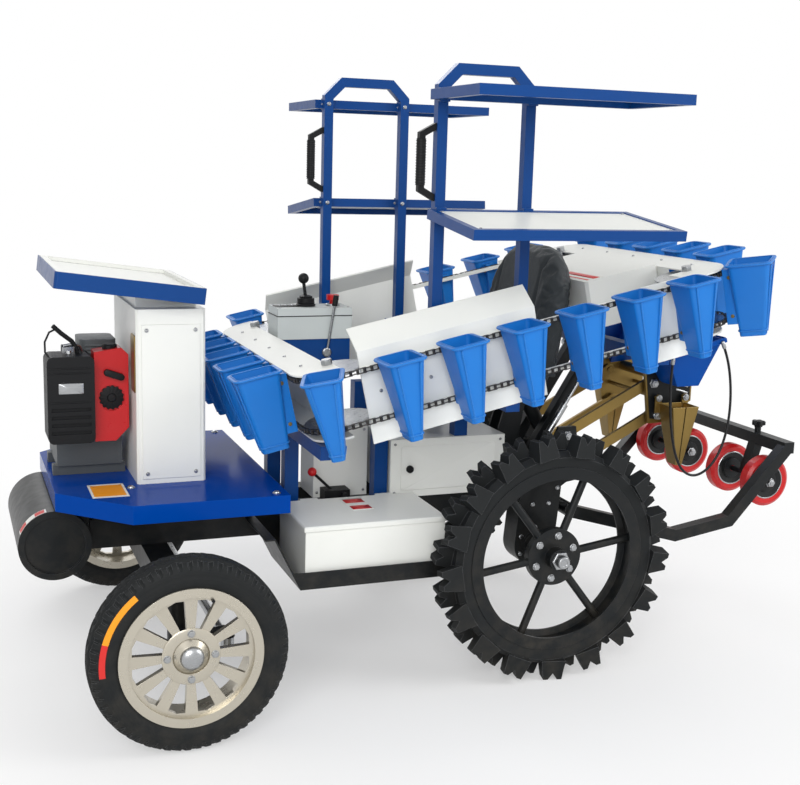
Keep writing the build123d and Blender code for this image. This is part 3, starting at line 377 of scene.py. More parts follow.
# %% Which finish each part wears
wears = {
    "royal_blue": "conveyor_stand seedling_racks tray_frame",
    "deck_blue": "engine_deck",
    "cup_blue": "seedling_cups",
    "hopper_blue": "hopper",
    "white_paint": "column tray_sheet toolbox toolbox_lid cabinets end_covers side_panels rear_table "
                   "shelf_sheets",
    "black_paint": "chassis_frame final_drives foot_trays belt_guard planting_frame front_axle_beam "
                   "transmission rear_wheel_left rear_wheel_right lift_barrel knuckle_left knuckle_right",
    "black_plastic": "engine_air_cleaner rack_handles control_lever valve_block seat_slide duckbill_cable",
    "steel": "corner_sprockets tie_rod lift_rod",
    "chain_steel": "cup_chains",
    "alloy": "front_rim_left front_rim_right",
    "rubber": "front_tyre_left front_tyre_right rear_tyre_left rear_tyre_right",
    "red_paint": "engine_shroud",
    "red_plastic": "red_knobs press_wheel_left_outer press_wheel_left_inner press_wheel_right_inner "
                   "press_wheel_right_outer",
    "zinc": "planting_head lower_links upper_links duckbill_front duckbill_rear",
    "vinyl": "seat_cushion seat_back",
    "grey_plastic": "control_box",
    "engine_grey": "engine_block",
}
worn_by = {part: name for name, parts in wears.items() for part in parts.split()}
for part, name in worn_by.items():
    nodes[part].data.materials.clear()
    nodes[part].data.materials.append(materials[name])
print("dressed", len(worn_by), "bare", sorted(set(nodes) - set(worn_by)))


# %% [markdown]
# ## Pieces on bodies
# A new piece is a mesh written by whole-array calls. It rides on a body, so it moves with the part
# it sits on, and the wheels' pieces come in pairs, one for each side's body.

# %% Putting a shape into the scene
def show(name, shape, wear, body="chassis", stands_for=(), crease=32):
    """Writes points and triangles into a mesh and lets it ride on a body. Edges that turn by more than
    `crease` degrees stay sharp."""
    points, faces = shape
    mesh = bpy.data.meshes.new(name)
    mesh.vertices.add(len(points))
    mesh.vertices.foreach_set("co", points.astype(np.float32).ravel())
    mesh.loops.add(faces.size)
    mesh.loops.foreach_set("vertex_index", faces.astype(np.int32).ravel())
    mesh.polygons.add(len(faces))
    mesh.polygons.foreach_set("loop_start", np.arange(0, faces.size, 3, dtype=np.int32))
    mesh.polygons.foreach_set("use_smooth", np.ones(len(faces), bool))
    mesh.update(calc_edges=True)
    mesh.set_sharp_from_angle(angle=math.radians(crease))
    piece = bpy.data.objects.new(name, mesh)
    scene.collection.objects.link(piece)
    mesh.materials.append(materials[wear])
    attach(piece, body)
    if stands_for:
        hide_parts(*stands_for)
    print(name, len(points), "points", len(faces), "triangles on", body)
    return piece


def pair(name, shape, wear, body, stands_for=None, crease=32):
    """A left piece and its mirror image, each on its own side's body."""
    for side, half in (("_left", shape), ("_right", mirrored(shape))):
        show(name + side, half, wear, body + side, [stands_for + side] if stands_for else (), crease)


# %% [markdown]
# ## Front tyres
# The front wheels carry low turf tyres: a round section, a squat shoulder and a shallow tread.
# A ring could be modelled and its blocks arrayed, but one formula for the section and one for the
# tread cut give every groove at its true place. The tyre stands for the plain CAD ring.

# %% Turf tyre from its section and its tread cut
FRONT_HUB = np.array([1030, 600, 240])
TREAD_DEPTH = 6.5


def tyre_section(p):
    """The tyre's outline in millimetres for p from 0 to pi: y = 46.8 |cos p|^0.55 with the cosine's sign,
    and r = 190 + 49.8 sin(p)^0.7."""
    y = 46.8 * np.sign(np.cos(p)) * np.abs(np.cos(p)) ** 0.55
    return y, 190 + 49.8 * np.sin(p) ** 0.7


def turf_tyre():
    """The section with a foot into the rim at each end, turned about y. The tread cut sets in where r goes
    from 216 to 224: four zigzag grooves, each a bell curve of y, and sixty notches in each shoulder, each
    the upper part of a cosine of the angle. Three low rings stand on each wall."""
    y, r = tyre_section(np.pi * (0.5 - 0.5 * np.cos(np.linspace(0, np.pi, 81))))
    foot_r, foot_y = np.array([165, 172, 178, 184]), np.array([39.3, 39.6, 42.6, 45.4])
    r = np.concatenate([foot_r, r, foot_r[::-1]])[:, None]
    y = np.concatenate([foot_y, y, -foot_y[::-1]])[:, None]
    t = np.arange(600)[None] * 2 * np.pi / 600
    crown = np.clip((r - 216) / 8, 0, 1)
    zigzag = 2.6 * np.arcsin(np.sin(30 * t))
    grooves = sum(np.exp(-((y - at - zigzag) / 3.0) ** 2) for at in (-25, -9, 9, 25))
    shoulder = np.clip((np.abs(y) - 27) / 3, 0, 1)
    notches = np.clip((np.cos(60 * t + np.sign(y)) - 0.3) / 0.3, 0, 1) * shoulder
    rings = sum(np.exp(-((r - at) / 1.6) ** 2) for at in (196, 208, 214)) * (np.abs(y) > 40)
    r = r - crown * TREAD_DEPTH * np.maximum(grooves, notches)
    y = y + 0.7 * np.sign(y) * rings + 0 * t
    return welded(np.stack([r * np.cos(t), y, r * np.sin(t)], -1) / 1000, True, True)


tread_points, tread_faces = turf_tyre()
pair("turf_tyre", (tread_points + mm(FRONT_HUB), tread_faces), "rubber", "front_wheel", "front_tyre", 45)

# %% [markdown]
# ## Fasteners
# A machine of sheet and tube is held by hundreds of hexagon screws. One small shape, a washer
# with a six-sided head, is copied to lists of places that are read off the solids. The front rims
# also get a turned hub face with a cap, and the rear hubs an axle end with its nut.

# %% Screws for the wheels
REAR_HUB = np.array([0, 487, 345])


def screw(size):
    """A round washer and a six-sided head with a turned top, sized from the thread in millimetres."""
    washer = np.array([(0, 1.1), (0.18, 1.05)])
    head = np.array([(0.1, 0.92), (0.66, 0.92), (0.76, 0.8)])
    return joined(turned(washer * size, 12), turned(head * size, 6))


def ring_of(centre, radius, count, phase=0.0):
    """Places in millimetres on a circle that faces outward: centre + radius (cos t, 0, sin t)."""
    t = np.radians(phase) + np.arange(count) * 2 * np.pi / count
    return np.asarray(centre) + radius * np.stack([np.cos(t), 0 * t, np.sin(t)], -1)


hub_cap = turned([(0, 29), (4, 28.6), (9, 25), (13, 17), (14.6, 8), (15, 0)], 36)
hub_face = hoop([(26.2, 44), (29.4, 44.5), (31, 66), (29, 70), (27.2, 70)], 48)
valve = turned([(0, 4.5), (9, 4), (11, 3), (24, 3), (24, 4), (32, 4)], 10)
valve_place = FRONT_HUB + [148 * math.cos(1.9), 22, 148 * math.sin(1.9)]
rim_parts = joined(fitted(screw(9), ring_of(FRONT_HUB + [0, 30, 0], 57, 4), OUTWARD),
                   fitted(hub_cap, FRONT_HUB + [0, 40, 0], OUTWARD))
pair("rim_screws", rim_parts, "steel", "front_wheel")
pair("rim_face", fitted(hub_face, FRONT_HUB, OUTWARD), "alloy", "front_wheel")
pair("tyre_valve", fitted(valve, valve_place, OUTWARD), "black_plastic", "front_wheel")

axle_end = turned([(0, 17), (7, 17), (9, 15), (9, 9), (7, 8)], 28)
axle_nut = turned([(0, 27), (8, 27), (10, 24.5)], 6)
hub_parts = joined(fitted(screw(10), ring_of(REAR_HUB, 60, 6, 38), OUTWARD),
                   fitted(axle_end, REAR_HUB + [0, 50, 0], OUTWARD),
                   fitted(axle_nut, REAR_HUB + [0, 32, 0], OUTWARD))
pair("hub_screws", hub_parts, "steel", "rear_wheel")

# %% [markdown]
# ## The cup chain
# Two roller chains run round the whole loop, one above the other, and carry the cups between them.
# The loop is a rounded rectangle in a plane that is tipped up to the rear. Its line is sampled once,
# and everything on it is set at equal lengths of that line.

# %% The loop's line
SLOPE = math.radians(12.5)
ALONG, ACROSS = np.array([math.cos(SLOPE), 0, -math.sin(SLOPE)]), np.array([0.0, 1.0, 0.0])
NORMAL = np.array([math.sin(SLOPE), 0, math.cos(SLOPE)])
LOOP_MIDDLE = np.array([92, 0, 985.0])
HALF_LONG, HALF_WIDE, CORNER_R, STRAND_GAP = 545, 375, 95, 135
arc = np.linspace(0, np.pi / 2, 25)
turns = np.concatenate([[np.pi / 2]] + [np.pi / 2 * (k + 1) + arc for k in range(4)] + [[np.pi * 2.5]])
corner_u = np.concatenate([[0], np.repeat([-1, -1, 1, 1], 25), [0]]) * HALF_LONG
corner_v = np.concatenate([[1], np.repeat([1, -1, -1, 1], 25), [1]]) * HALF_WIDE
line_u = corner_u + CORNER_R * np.cos(turns)
line_v = corner_v + CORNER_R * np.sin(turns)
line_s = np.concatenate([[0], np.cumsum(np.hypot(np.diff(line_u), np.diff(line_v)))])
LOOP_LENGTH = line_s[-1]


def in_plane(u, v, n):
    """A point of the tilted loop plane in the machine's frame: middle + u along + v across + n normal."""
    u, v, n = (np.asarray(k, float)[..., None] for k in np.broadcast_arrays(u, v, n))
    return mm(LOOP_MIDDLE + u * ALONG + v * ACROSS + n * NORMAL)


def loop_frame(s, n=0.0):
    """Places at lengths s of the loop and the way along it there, interpolated on the sampled line."""
    s = np.asarray(s) % LOOP_LENGTH
    turn = np.interp(s, line_s, turns)[:, None]
    place = in_plane(np.interp(s, line_s, line_u), np.interp(s, line_s, line_v), n)
    return place, np.sin(turn) * ALONG - np.cos(turn) * ACROSS


print("loop", round(LOOP_LENGTH), "mm")

# %% [markdown]
# ## Links, rollers and sprocket teeth
# The chain bends in the loop's plane, so its pins stand square to that plane and its side plates lie
# above and below the rollers. One plate and one roller are copied along the line.

# %% Links and rollers
LINKS = 224
PITCH = LOOP_LENGTH / LINKS
LINK_HALF = 4.6


def link_plate(low, high):
    """A flat link with round ends and a waist: two arcs about the pins, 0.66 of the width between them."""
    bow = np.radians([-70, -35, 0, 35, 70])
    half = np.stack([np.append(PITCH / 2 + LINK_HALF * np.cos(bow), 0),
                     np.append(LINK_HALF * np.sin(bow), LINK_HALF * 0.66)], -1)
    rim = np.concatenate([half, -half])
    return skinned(np.stack([np.column_stack([rim, np.full(12, z)]) for z in (low, high)]) / 1000)


def strand(n):
    """One chain at height n over the loop plane: outer and inner plates by turns, rollers on the pins."""
    middles = (np.arange(LINKS) + 0.5) * PITCH
    outer, outer_way = loop_frame(middles[0::2], n)
    inner, inner_way = loop_frame(middles[1::2], n)
    pins, pin_way = loop_frame(np.arange(LINKS) * PITCH, n)
    roller = turned([(-3.9, 4.0), (3.9, 4.0)], 8)
    outer_pair = joined(link_plate(5.5, 7.0), link_plate(-7.0, -5.5))
    inner_pair = joined(link_plate(3.9, 5.4), link_plate(-5.4, -3.9))
    return joined(copies(outer_pair, outer, NORMAL, outer_way),
                  copies(inner_pair, inner, NORMAL, inner_way), copies(roller, pins, NORMAL, pin_way))


show("roller_chains", joined(strand(0), strand(-STRAND_GAP)), "chain_steel", stands_for=["cup_chains"])

TEETH = 31
corners = np.array([1, 1, -1, -1]) * HALF_LONG, np.array([1, -1, 1, -1]) * HALF_WIDE
teeth = turned([(-2, 90.4), (2, 90.4)], TEETH * 6, lobes=TEETH, depth=0.022)
shaft_nut = turned([(0, 15), (11, 15), (13, 13)], 6)
sprockets = [copies(teeth, in_plane(*corners, n), NORMAL) for n in (0, -STRAND_GAP)]
show("sprocket_teeth", joined(*sprockets, copies(shaft_nut, in_plane(*corners, 16), NORMAL)), "steel")

# %% [markdown]
# ## Cups
# Each moulded cup has a rolled lip, two stiffening ribs down its outer face, a collar at its foot and screws
# through its hanger. The lip could be a bevel on the solid, but a thin tube along the lip's outline catches
# the light as the real bead does.

# %% Cup lips, ribs and screws
CUP_COUNT, FIRST_CUP = 25, -66
cup_place, cup_way = loop_frame(np.arange(CUP_COUNT) * LOOP_LENGTH / CUP_COUNT + FIRST_CUP)
lip = joined(tube(rounded_line(101, 125, 17.5, 25.5, 83.3), 0.0032, 6, True),
             tube(rounded_line(87, 111, 12, 28.4, 83.3), 0.0016, 6, True))
cup_ribs = [tube(np.array([[k * 30, 142.5, 18], [k * 11, 108.4, -178]]) / 1000, 0.0022, 6) for k in (-1, 1)]
foot = tube(rounded_line(39.5, 77.5, 11, -168, 72.2), 0.0024, 6, True)
show("cup_lips", copies(joined(lip, *cup_ribs, foot), cup_place, NORMAL, cup_way), "cup_blue",
     crease=50)
on_hanger = joined(*[copies(screw(5), np.array([k * 15, 22, n]) / 1000, (k, 0, 0), OUTWARD)
                     for k in (-1, 1) for n in (-12, -123)])
show("hanger_screws", copies(on_hanger, cup_place, NORMAL, cup_way), "zinc")

# %% [markdown]
# ## The seat
# A vinyl cover is stretched over foam: it bulges between its seams and lies flat where it is screwed down.
# The bulge could be sculpted, but a cloth simulation with air pressure inside finds it by itself. The CAD
# pad is copied, remeshed evenly, drawn in a little, blown up for twenty frames and held to a largest shift.

# %% Stuffed pads by pressure
VOXEL, DRAWN_IN, LARGEST_SHIFT = 0.0055, 0.006, 0.014
PRESSURE, FRAMES, FILL = 4, 20, 0.7


def settled(piece):
    """The piece as its modifiers leave it."""
    return piece.evaluated_get(bpy.context.evaluated_depsgraph_get())


def points_of(mesh):
    """A mesh's points as rows of an array."""
    flat = np.empty(len(mesh.vertices) * 3, np.float32)
    mesh.vertices.foreach_get("co", flat)
    return flat.reshape(-1, 3)


def stuffed(part, name, held):
    """The pad's points move by the simulated shift, cut to the largest one, times (1 - held(points));
    held is 1 where the pad rests on something and falls to 0 away from it."""
    mesh = nodes[part].data.copy()
    mesh.name = name
    work = bmesh.new()
    work.from_mesh(mesh)
    bmesh.ops.remove_doubles(work, verts=work.verts, dist=1e-5)
    work.to_mesh(mesh)
    work.free()
    piece = bpy.data.objects.new(name, mesh)
    scene.collection.objects.link(piece)
    even = piece.modifiers.new("even", "REMESH")
    even.mode, even.voxel_size = "VOXEL", VOXEL
    even_mesh = bpy.data.meshes.new_from_object(settled(piece))
    piece.modifiers.clear()
    piece.data = even_mesh
    even_mesh.name = name
    rest = points_of(even_mesh)
    hold = held(rest)[:, None]
    reach = rest - rest.mean(0)
    rest = rest - DRAWN_IN * (1 - hold) * reach / np.abs(reach).max(0)
    even_mesh.vertices.foreach_set("co", rest.ravel())
    cloth = piece.modifiers.new("stuffing", "CLOTH")
    cloth.settings.use_pressure = True
    cloth.settings.uniform_pressure_force = PRESSURE
    cloth.settings.effector_weights.gravity = 0
    for step in range(1, FRAMES + 1):
        scene.frame_set(step)
    shift = points_of(settled(piece).data) - rest
    piece.modifiers.clear()
    scene.frame_set(1)
    size = np.linalg.norm(shift, axis=1, keepdims=True)
    return piece, rest + shift * np.minimum(1, LARGEST_SHIFT / np.maximum(size, 1e-9)) * (1 - hold)


def upholstered(piece, points, part):
    """Writes the points back, smooths the faces, adds one subdivision and hands the pad to its body."""
    piece.data.vertices.foreach_set("co", points.astype(np.float32).ravel())
    piece.data.polygons.foreach_set("use_smooth", np.ones(len(piece.data.polygons), bool))
    piece.data.update()
    piece.data.materials.clear()
    piece.data.materials.append(materials["vinyl"])
    fine = piece.modifiers.new("fine", "SUBSURF")
    fine.levels = fine.render_levels = 1
    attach(piece, "chassis")
    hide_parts(part)
    print(piece.name, len(piece.data.vertices), "points")


def ramp(value, start, length):
    """0 up to the start, then rising to 1 over the length."""
    return np.clip((value - start) / length, 0, 1)


def channel(distance, deep, wide=0.005):
    """A sewn channel: depth times a bell curve of the distance to the seam, in metres."""
    return deep * np.exp(-(distance / wide) ** 2)


SEAT_BASE = 0.785
pad, at = stuffed("seat_cushion", "seat_pad", lambda p: 1 - ramp(p[:, 2], SEAT_BASE, 0.02))
x, y, z = at[:, 0] - REAR_AXLE[0], at[:, 1], at[:, 2]
seams = channel(np.abs(y) - 0.125, 0.007) + channel(x - 0.045, 0.005) * (np.abs(y) < 0.125)
hollow = 0.012 * np.exp(-((x - 0.12) / 0.14) ** 2 - (y / 0.15) ** 2)
folds = 0.0016 * np.sin(70 * x + 9 * np.sin(23 * y)) * ramp(np.abs(y), 0.12, 0.06)
at[:, 2] -= ramp(z, 0.83, 0.02) * (seams + hollow - folds)
upholstered(pad, at, "seat_cushion")

LEAN = math.radians(12)
rest_way = np.array([-math.sin(LEAN), 0, math.cos(LEAN)])
face_way = np.array([math.cos(LEAN), 0, math.sin(LEAN)])
pivot = mm([-60, 0, 785])
pad, at = stuffed("seat_back", "backrest_pad", lambda p: 1 - ramp(p[:, 2], 0.80, 0.03))
high, deep, y = (at - pivot) @ rest_way, (at - pivot) @ face_way, at[:, 1]
seams = channel(np.abs(y) - 0.13, 0.007) + channel(high - 0.2, 0.006) * (np.abs(y) < 0.13)
folds = 0.002 * np.sin(55 * high + 8 * np.sin(19 * y)) * ramp(np.abs(y), 0.1, 0.08)
at -= face_way * (ramp(deep, -0.02, 0.02) * (seams - folds))[:, None]
upholstered(pad, at, "seat_back")

# %% [markdown]
# ## The duckbill cable
# A black control cable leaves the hopper's rear corner, hangs in a loop beside the duckbills and comes back
# to the hopper's front corner, held at both ends. It is one smooth line through the CAD route's points.

# %% Cable and its sleeves
CABLE_Y = 293.3
route = mm([[x, CABLE_Y, z] for x, z in (
    (-636, 897), (-654, 860), (-670, 808), (-680, 745), (-682, 680), (-675, 616), (-656, 556), (-621, 507),
    (-572, 485), (-527, 504), (-500, 551), (-483, 609), (-472, 671), (-466, 735), (-464, 798), (-468, 855))])
finish("cable_jacket", (22, 22, 24), 0.42, peel=900, bump=0.05, edge_wear_and_highlight=(60, 60, 62))
curve = bpy.data.curves.new("control_cable", "CURVE")
curve.dimensions = "3D"
spline = curve.splines.new("NURBS")
spline.points.add(len(route) - 1)
spline.points.foreach_set("co", np.column_stack([route, np.ones(len(route))]).ravel())
spline.order_u = 3
spline.use_endpoint_u = True
spline.resolution_u = 8
curve.bevel_depth = 0.004
curve.bevel_resolution = 3
curve.use_fill_caps = True
cable = bpy.data.objects.new("control_cable", curve)
scene.collection.objects.link(cable)
curve.materials.append(materials["cable_jacket"])
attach(cable, "planting_head")
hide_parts("duckbill_cable")
sleeve = turned([(-12, 5), (-10, 6), (10, 6), (12, 5)], 14)
ways = unit(np.array([route[0] - route[1], route[-1] - route[-2]]))
sleeves = copies(sleeve, route[[0, -1]] - ways * 0.010, ways, OUTWARD)
clips = show("cable_sleeves", sleeves, "steel", "planting_head")

# %% [markdown]
# ## Blank stickers
# The machine carries small coloured stickers on deck, toolbox lid, belt guard, rear table and front tyre.
# They stay blank here: coloured bars on a white ground. A flat one is a thin plate. The ones on the round
# guard and on the tyre's wall follow the same formula as the surface below, a little further out.

# %% Stickers on flat and round surfaces
finish("sticker_orange", (238, 152, 30), 0.4, mottle=0.05)
finish("sticker_red", (206, 44, 40), 0.4, mottle=0.05)
finish("sticker_white", (232, 231, 226), 0.4, mottle=0.05)


def drum_patch(low, high, near, far, lift):
    """A patch of the belt guard: x = 1297 + r cos a, z = 405 + r sin a, with r from 92 to 92 + lift."""
    a = np.radians(np.linspace(low, high, 13))[:, None]
    r, y = np.array([92, 92 + lift, 92 + lift, 92]), np.array([near, near, far, far])
    return skinned(mm(np.stack(np.broadcast_arrays(1297 + r * np.cos(a), y, 405 + r * np.sin(a)), -1)))


def wall_patch(low, high, lift=1.2):
    """A patch of the front tyre's wall between two angles: its section, p from 0.12 to 0.40, lifted in y."""
    t = np.radians(np.linspace(low, high, 15))[:, None]
    y, r = tyre_section(np.array([0.12, 0.26, 0.4, 0.4, 0.26, 0.12]))
    y = y + np.array([lift] * 3 + [0.2] * 3)
    patch = np.stack(np.broadcast_arrays(r * np.cos(t), y, r * np.sin(t)), -1)
    return skinned(patch / 1000 + mm(FRONT_HUB))


# Name: body, ground's size, bars as (long, wide, along, across), place, way it faces, way along, colour.
flat = {
    "deck_sticker": ("chassis", (92, 130), [(80, 106, 0, 0)], mm([1166, 240, 550]), UPWARD, FORWARD,
                     "sticker_orange"),
    "lid_sticker": ("toolbox_lid", (66, 118), [(56, 36, 0, -32), (56, 36, 0, 32)], mm([486, 226, 460]),
                    UPWARD, FORWARD, "sticker_red"),
    "table_sticker": ("chassis", (62, 190), [(8, 180, 22, 0), (22, 180, -6, 0)], in_plane(-340, 124, 24),
                      NORMAL, ALONG, "sticker_red"),
}
for name, (body, ground_size, bars, place, way, along, colour) in flat.items():
    ground = copies(plate(*ground_size, 0.4, 3), place, way, along)
    show(name, ground, "sticker_white", body)
    axes = np.array([along, np.cross(way, along), way]) / 1000
    field = [copies(plate(long, wide, 0.3, 2), place + np.array([a, b, 0.4]) @ axes, way, along)
             for long, wide, a, b in bars]
    show(name + "_field", joined(*field), colour, body)

show("tyre_sticker", wall_patch(16, 52), "sticker_orange", "front_wheel_left")
show("tyre_sticker_end", wall_patch(-6, 16), "sticker_red", "front_wheel_left")
show("guard_sticker", drum_patch(22, 78, 176, 206, 0.4), "sticker_white")
guard_bars = [drum_patch(low, low + 16, 179, 203, 0.8) for low in (25, 59)]
show("guard_sticker_field", joined(*guard_bars), "sticker_red")

# %% [markdown]
# ## Screws on the sheet metal
# Covers, panels and cabinets are held by small screws near their corners, and the chain cases by a ring of
# larger ones. A place is only a point on the sheet and the way the sheet faces; the left side's list also
# makes the right side.

# %% Sheet screws, deck bolts and a cabinet door
dome = turned([(0, 11), (1.6, 11), (1.6, 8.4), (4.6, 7.2), (6.4, 3.6), (6.8, 0)], 16)
column_places = [[x, 203, z] for x in (932, 1058) for z in (578, 956)]
cabinet_places = [[x, 125, z] for x in (4, 338) for z in (454, 598)]
cabinet_places += [[x, 64, z] for x in (413, 554) for z in (455, 635)]
deck_places = [[757, 372, 550], [1106, 226, 550]]
case_places = np.concatenate([ring_of((0, 365, 345), 50, 6, 30), ring_of((-14, 365, 505), 50, 6)])
show("column_screws", both(fitted(screw(5), column_places, OUTWARD)), "steel")
show("cabinet_screws", both(fitted(screw(4), cabinet_places, OUTWARD)), "steel")
show("deck_bolts", both(fitted(dome, deck_places, UPWARD)), "steel")
show("case_screws", both(fitted(screw(6), case_places, OUTWARD)), "steel")
panel_places = in_plane([20, 160, 300, 440, -468, -362], 454.5, -67)
cover_places = in_plane([[600], [-600]], [-320, -160, 0, 160, 320], 16).reshape(-1, 3)
show("panel_screws", joined(both(copies(screw(4.5), panel_places, OUTWARD, ALONG)),
                            copies(screw(4.5), cover_places, NORMAL, ALONG)), "steel")
door = fitted(plate(296, 132, 2.4, 8), [171, 125, 526], OUTWARD)
show("cabinet_doors", both(door), "white_paint")
knob = turned([(0, 6), (6, 6), (8, 11), (15, 11), (17, 9)], 20)
show("door_knobs", both(fitted(knob, [296, 127.4, 526], OUTWARD)), "black_plastic")

# %% [markdown]
# ## Engine dressing
# The engine is open to view under the tray. Its recoil starter sits in the shroud's round recess, the air
# cleaner has a wing nut, a bare plate and a throttle lever, and a louvred silencer sits on the head.
# Lathe profiles make the round pieces and rounded plates the rest.

# %% Starter, cleaner and silencer
starter = joined(turned([(0, 31), (2.5, 31), (3.5, 28)], 90, lobes=15, depth=0.05),
                 turned([(3, 12), (7, 10), (8, 0)], 20))
filler_cap = turned([(0, 19), (10, 19), (13, 16)], 24, lobes=12, depth=0.03)
show("starter_grille", fitted(starter, [1138, 122, 770], OUTWARD), "black_plastic")
show("starter_grip", joined(fitted(plate(54, 17, 15, 8), [1132, 128, 832], OUTWARD, (1, 0, 0.35)),
                            fitted(filler_cap, [1138, 97, 896], UPWARD)), "black_plastic")
wing = joined(turned([(0, 7), (9, 6)], 14), copies(plate(34, 5, 15, 2), [0, 0, 0.004], UPWARD))
bright = joined(fitted(wing, [1245, 119, 888], UPWARD, (1, 0.4, 0)),
                fitted(plate(62, 27, 0.6, 2), [1245, 172, 806], OUTWARD),
                tube(mm([[1208, 90, 886], [1214, 96, 905], [1232, 108, 912], [1256, 112, 908]]), 0.004))
show("engine_brightwork", bright, "steel")
cleaner_ribs = fitted(plate(104, 3.4, 2.2, 1.5), [[1248, 172, z] for z in (770, 846, 858)], OUTWARD)
show("cleaner_ribs", cleaner_ribs, "black_plastic")
lever = [[1283, 120, 962], [1262, 118, 942], [1235, 112, 920], [1222, 108, 896], [1222, 106, 876]]
wire = [[1274, 119, 954], [1292, 124, 946], [1304, 130, 922], [1304, 134, 896], [1290, 136, 876]]
show("throttle_lever", joined(tube(mm(lever), 0.006), tube(mm(wire), 0.0026)), "black_plastic",
     crease=60)
outlet = turned([(0, 15), (38, 15), (38, 11), (30, 11)], 20)
silencer = joined(fitted(plate(96, 128, 82, 18), [1160, -24, 830], UPWARD),
                  fitted(plate(70, 5, 2.4, 2), [[1160, 40, z] for z in range(846, 906, 10)], OUTWARD),
                  fitted(outlet, [1208, -60, 872], FORWARD, OUTWARD))
show("silencer", silencer, "engine_grey")
bracket = fitted(plate(62, 150, 3, 6), [1085, 158, 866], FORWARD, OUTWARD)
show("column_bracket", bracket, "zinc")

# %% [markdown]
# ## Press wheels
# Each press wheel is a red tread on a black disc with a bright bead. The tread is the solid. Rings are laid
# on both its faces and ride on that wheel.

# %% Discs and beads
PRESS_AXLE = np.array([-822, 0, 460])
disc = joined(hoop([(13.4, 31.2), (14.7, 31.2), (19.2, 52), (17.8, 52)]),
              hoop([(14.2, 9.5), (22, 9.5), (22, 22), (20.6, 31.6), (14.2, 31.6)]))
bead = hoop([(17.6, 50.5), (20.2, 51), (20.6, 53), (18.6, 55.5)])
both_faces = np.array([[0, 1, 0], [0, -1, 0]])
for name, y in (("left_outer", 300), ("left_inner", 120), ("right_inner", -120), ("right_outer", -300)):
    middle = np.repeat([PRESS_AXLE + [0, y, 0]], 2, 0)
    show("press_disc_" + name, fitted(disc, middle, both_faces), "black_paint", "press_wheel_" + name)
    show("press_bead_" + name, fitted(bead, middle, both_faces), "steel", "press_wheel_" + name)

# %% [markdown]
# ## Planting unit hardware
# Nuts close the link pins, clips the duckbill shafts and star knobs the press-wheel posts. Black plates
# cover the head's sides. Where the head's own plates reach up into the hopper's two bins, a rib of the
# hopper's blue is moulded over them, and a bead runs round the hopper's mouth.

# %% Nuts, clips, knobs, cover plates and hopper ribs
nut = turned([(0, 15), (2.4, 15), (2.4, 13), (10, 13), (12, 11), (12, 8), (15, 7)], 6)
clip = turned([(0, 10.5), (3, 10.5), (3, 7), (6, 6)], 16)
star = turned([(0, 11), (4, 12), (7, 19), (17, 19), (20, 16)], 45, lobes=5, depth=0.17)
frame_nuts = joined(fitted(nut, [[-210, 146, 600], [-230, 146, 500], [-822, 330, 460]], OUTWARD),
                    fitted(nut, [-822, 90, 460], (0, -1, 0)))
show("frame_nuts", both(frame_nuts), "steel", "planting_frame")
show("star_knobs", both(fitted(star, [-855, 210, 609], UPWARD)), "black_plastic", "planting_frame")
show("bill_clips_front", both(fitted(clip, [-512, 166, 706], OUTWARD)), "steel", "duckbill_front")
show("bill_clips_rear", both(fitted(clip, [-608, 166, 706], OUTWARD)), "steel", "duckbill_rear")
COVER_SIDES, NUT_FACE = (146, 148), 148.4
outline = np.array([(-494, 640), (-476, 768), (-476, 796), (-634, 796), (-634, 694), (-600, 674),
                    (-553, 632)])
cover = skinned(mm(np.stack([np.insert(outline, 1, y, axis=1) for y in COVER_SIDES])))
show("head_plates", both(cover), "black_paint", "planting_head")
slots = joined(fitted(nut, [[-500, NUT_FACE, 750], [-520, NUT_FACE, 650]], OUTWARD),
               fitted(plate(46, 6, 1, 3), [[-604, NUT_FACE, z] for z in (742, 722)], OUTWARD, (1, 0, 0.3)))
show("head_nuts", both(slots), "steel", "planting_head")
near_ring = [(-605.5, 130.5, 782), (-511.5, 130.5, 773), (-493, 130.5, 806), (-612, 130.5, 806)]
far_ring = [(-599.5, 149.5, 764), (-519.5, 149.5, 760), (-493, 149.5, 806), (-612, 149.5, 806)]
show("hopper_ribs", both(skinned(mm([near_ring, far_ring]))), "hopper_blue", "planting_head")
HOPPER_TIP = math.radians(14)
tip_x = [math.cos(HOPPER_TIP), 0, -math.sin(HOPPER_TIP)]
tip_z = [math.sin(HOPPER_TIP), 0, math.cos(HOPPER_TIP)]
mouth = rounded_line(205, 574, 6, 0.5) @ np.array([tip_x, OUTWARD, tip_z]) + mm([-552.5, 0, 882])
show("hopper_bead", tube(mouth, 0.0028, 8, True), "hopper_blue", "planting_head", crease=60)

# %% [markdown]
# ## Struts and steering
# A gas strut carries part of the planting unit beside the black stay. The king pins end in nuts, the tie rod
# in lock nuts and rubber boots.

# %% Gas strut, king pin nuts and tie rod ends
low_end, collar, high_end = mm([[-108, 98, 502], [-222, 98, 687], [-322, 98, 849]])
eye = turned([(-24, 6), (-9, 6), (-9, 12), (9, 12)], 20)
strut = joined(tube([low_end, collar], 0.0105, 16), tube([collar, high_end], 0.0055, 12),
               copies(eye, [low_end, high_end], OUTWARD))
show("gas_struts", both(strut), "steel")
king_nut = turned([(0, 24), (13, 24), (16, 21), (16, 13), (20, 12)], 6)
pair("king_nut", fitted(king_nut, [1030, 480, 420], UPWARD), "steel", "knuckle")
lock_nut = turned([(-9, 18), (9, 18)], 6)
show("tie_rod_nuts", both(fitted(lock_nut, [[910, 436, 205], [910, 414, 205]], OUTWARD)), "steel", "tie_rod")
boot = turned([(0, 18), (2, 19), (4, 16), (6.4, 13)], 20)
show("tie_rod_boots", both(fitted(boot, [910, 480, 219], UPWARD)), "black_plastic", "tie_rod")

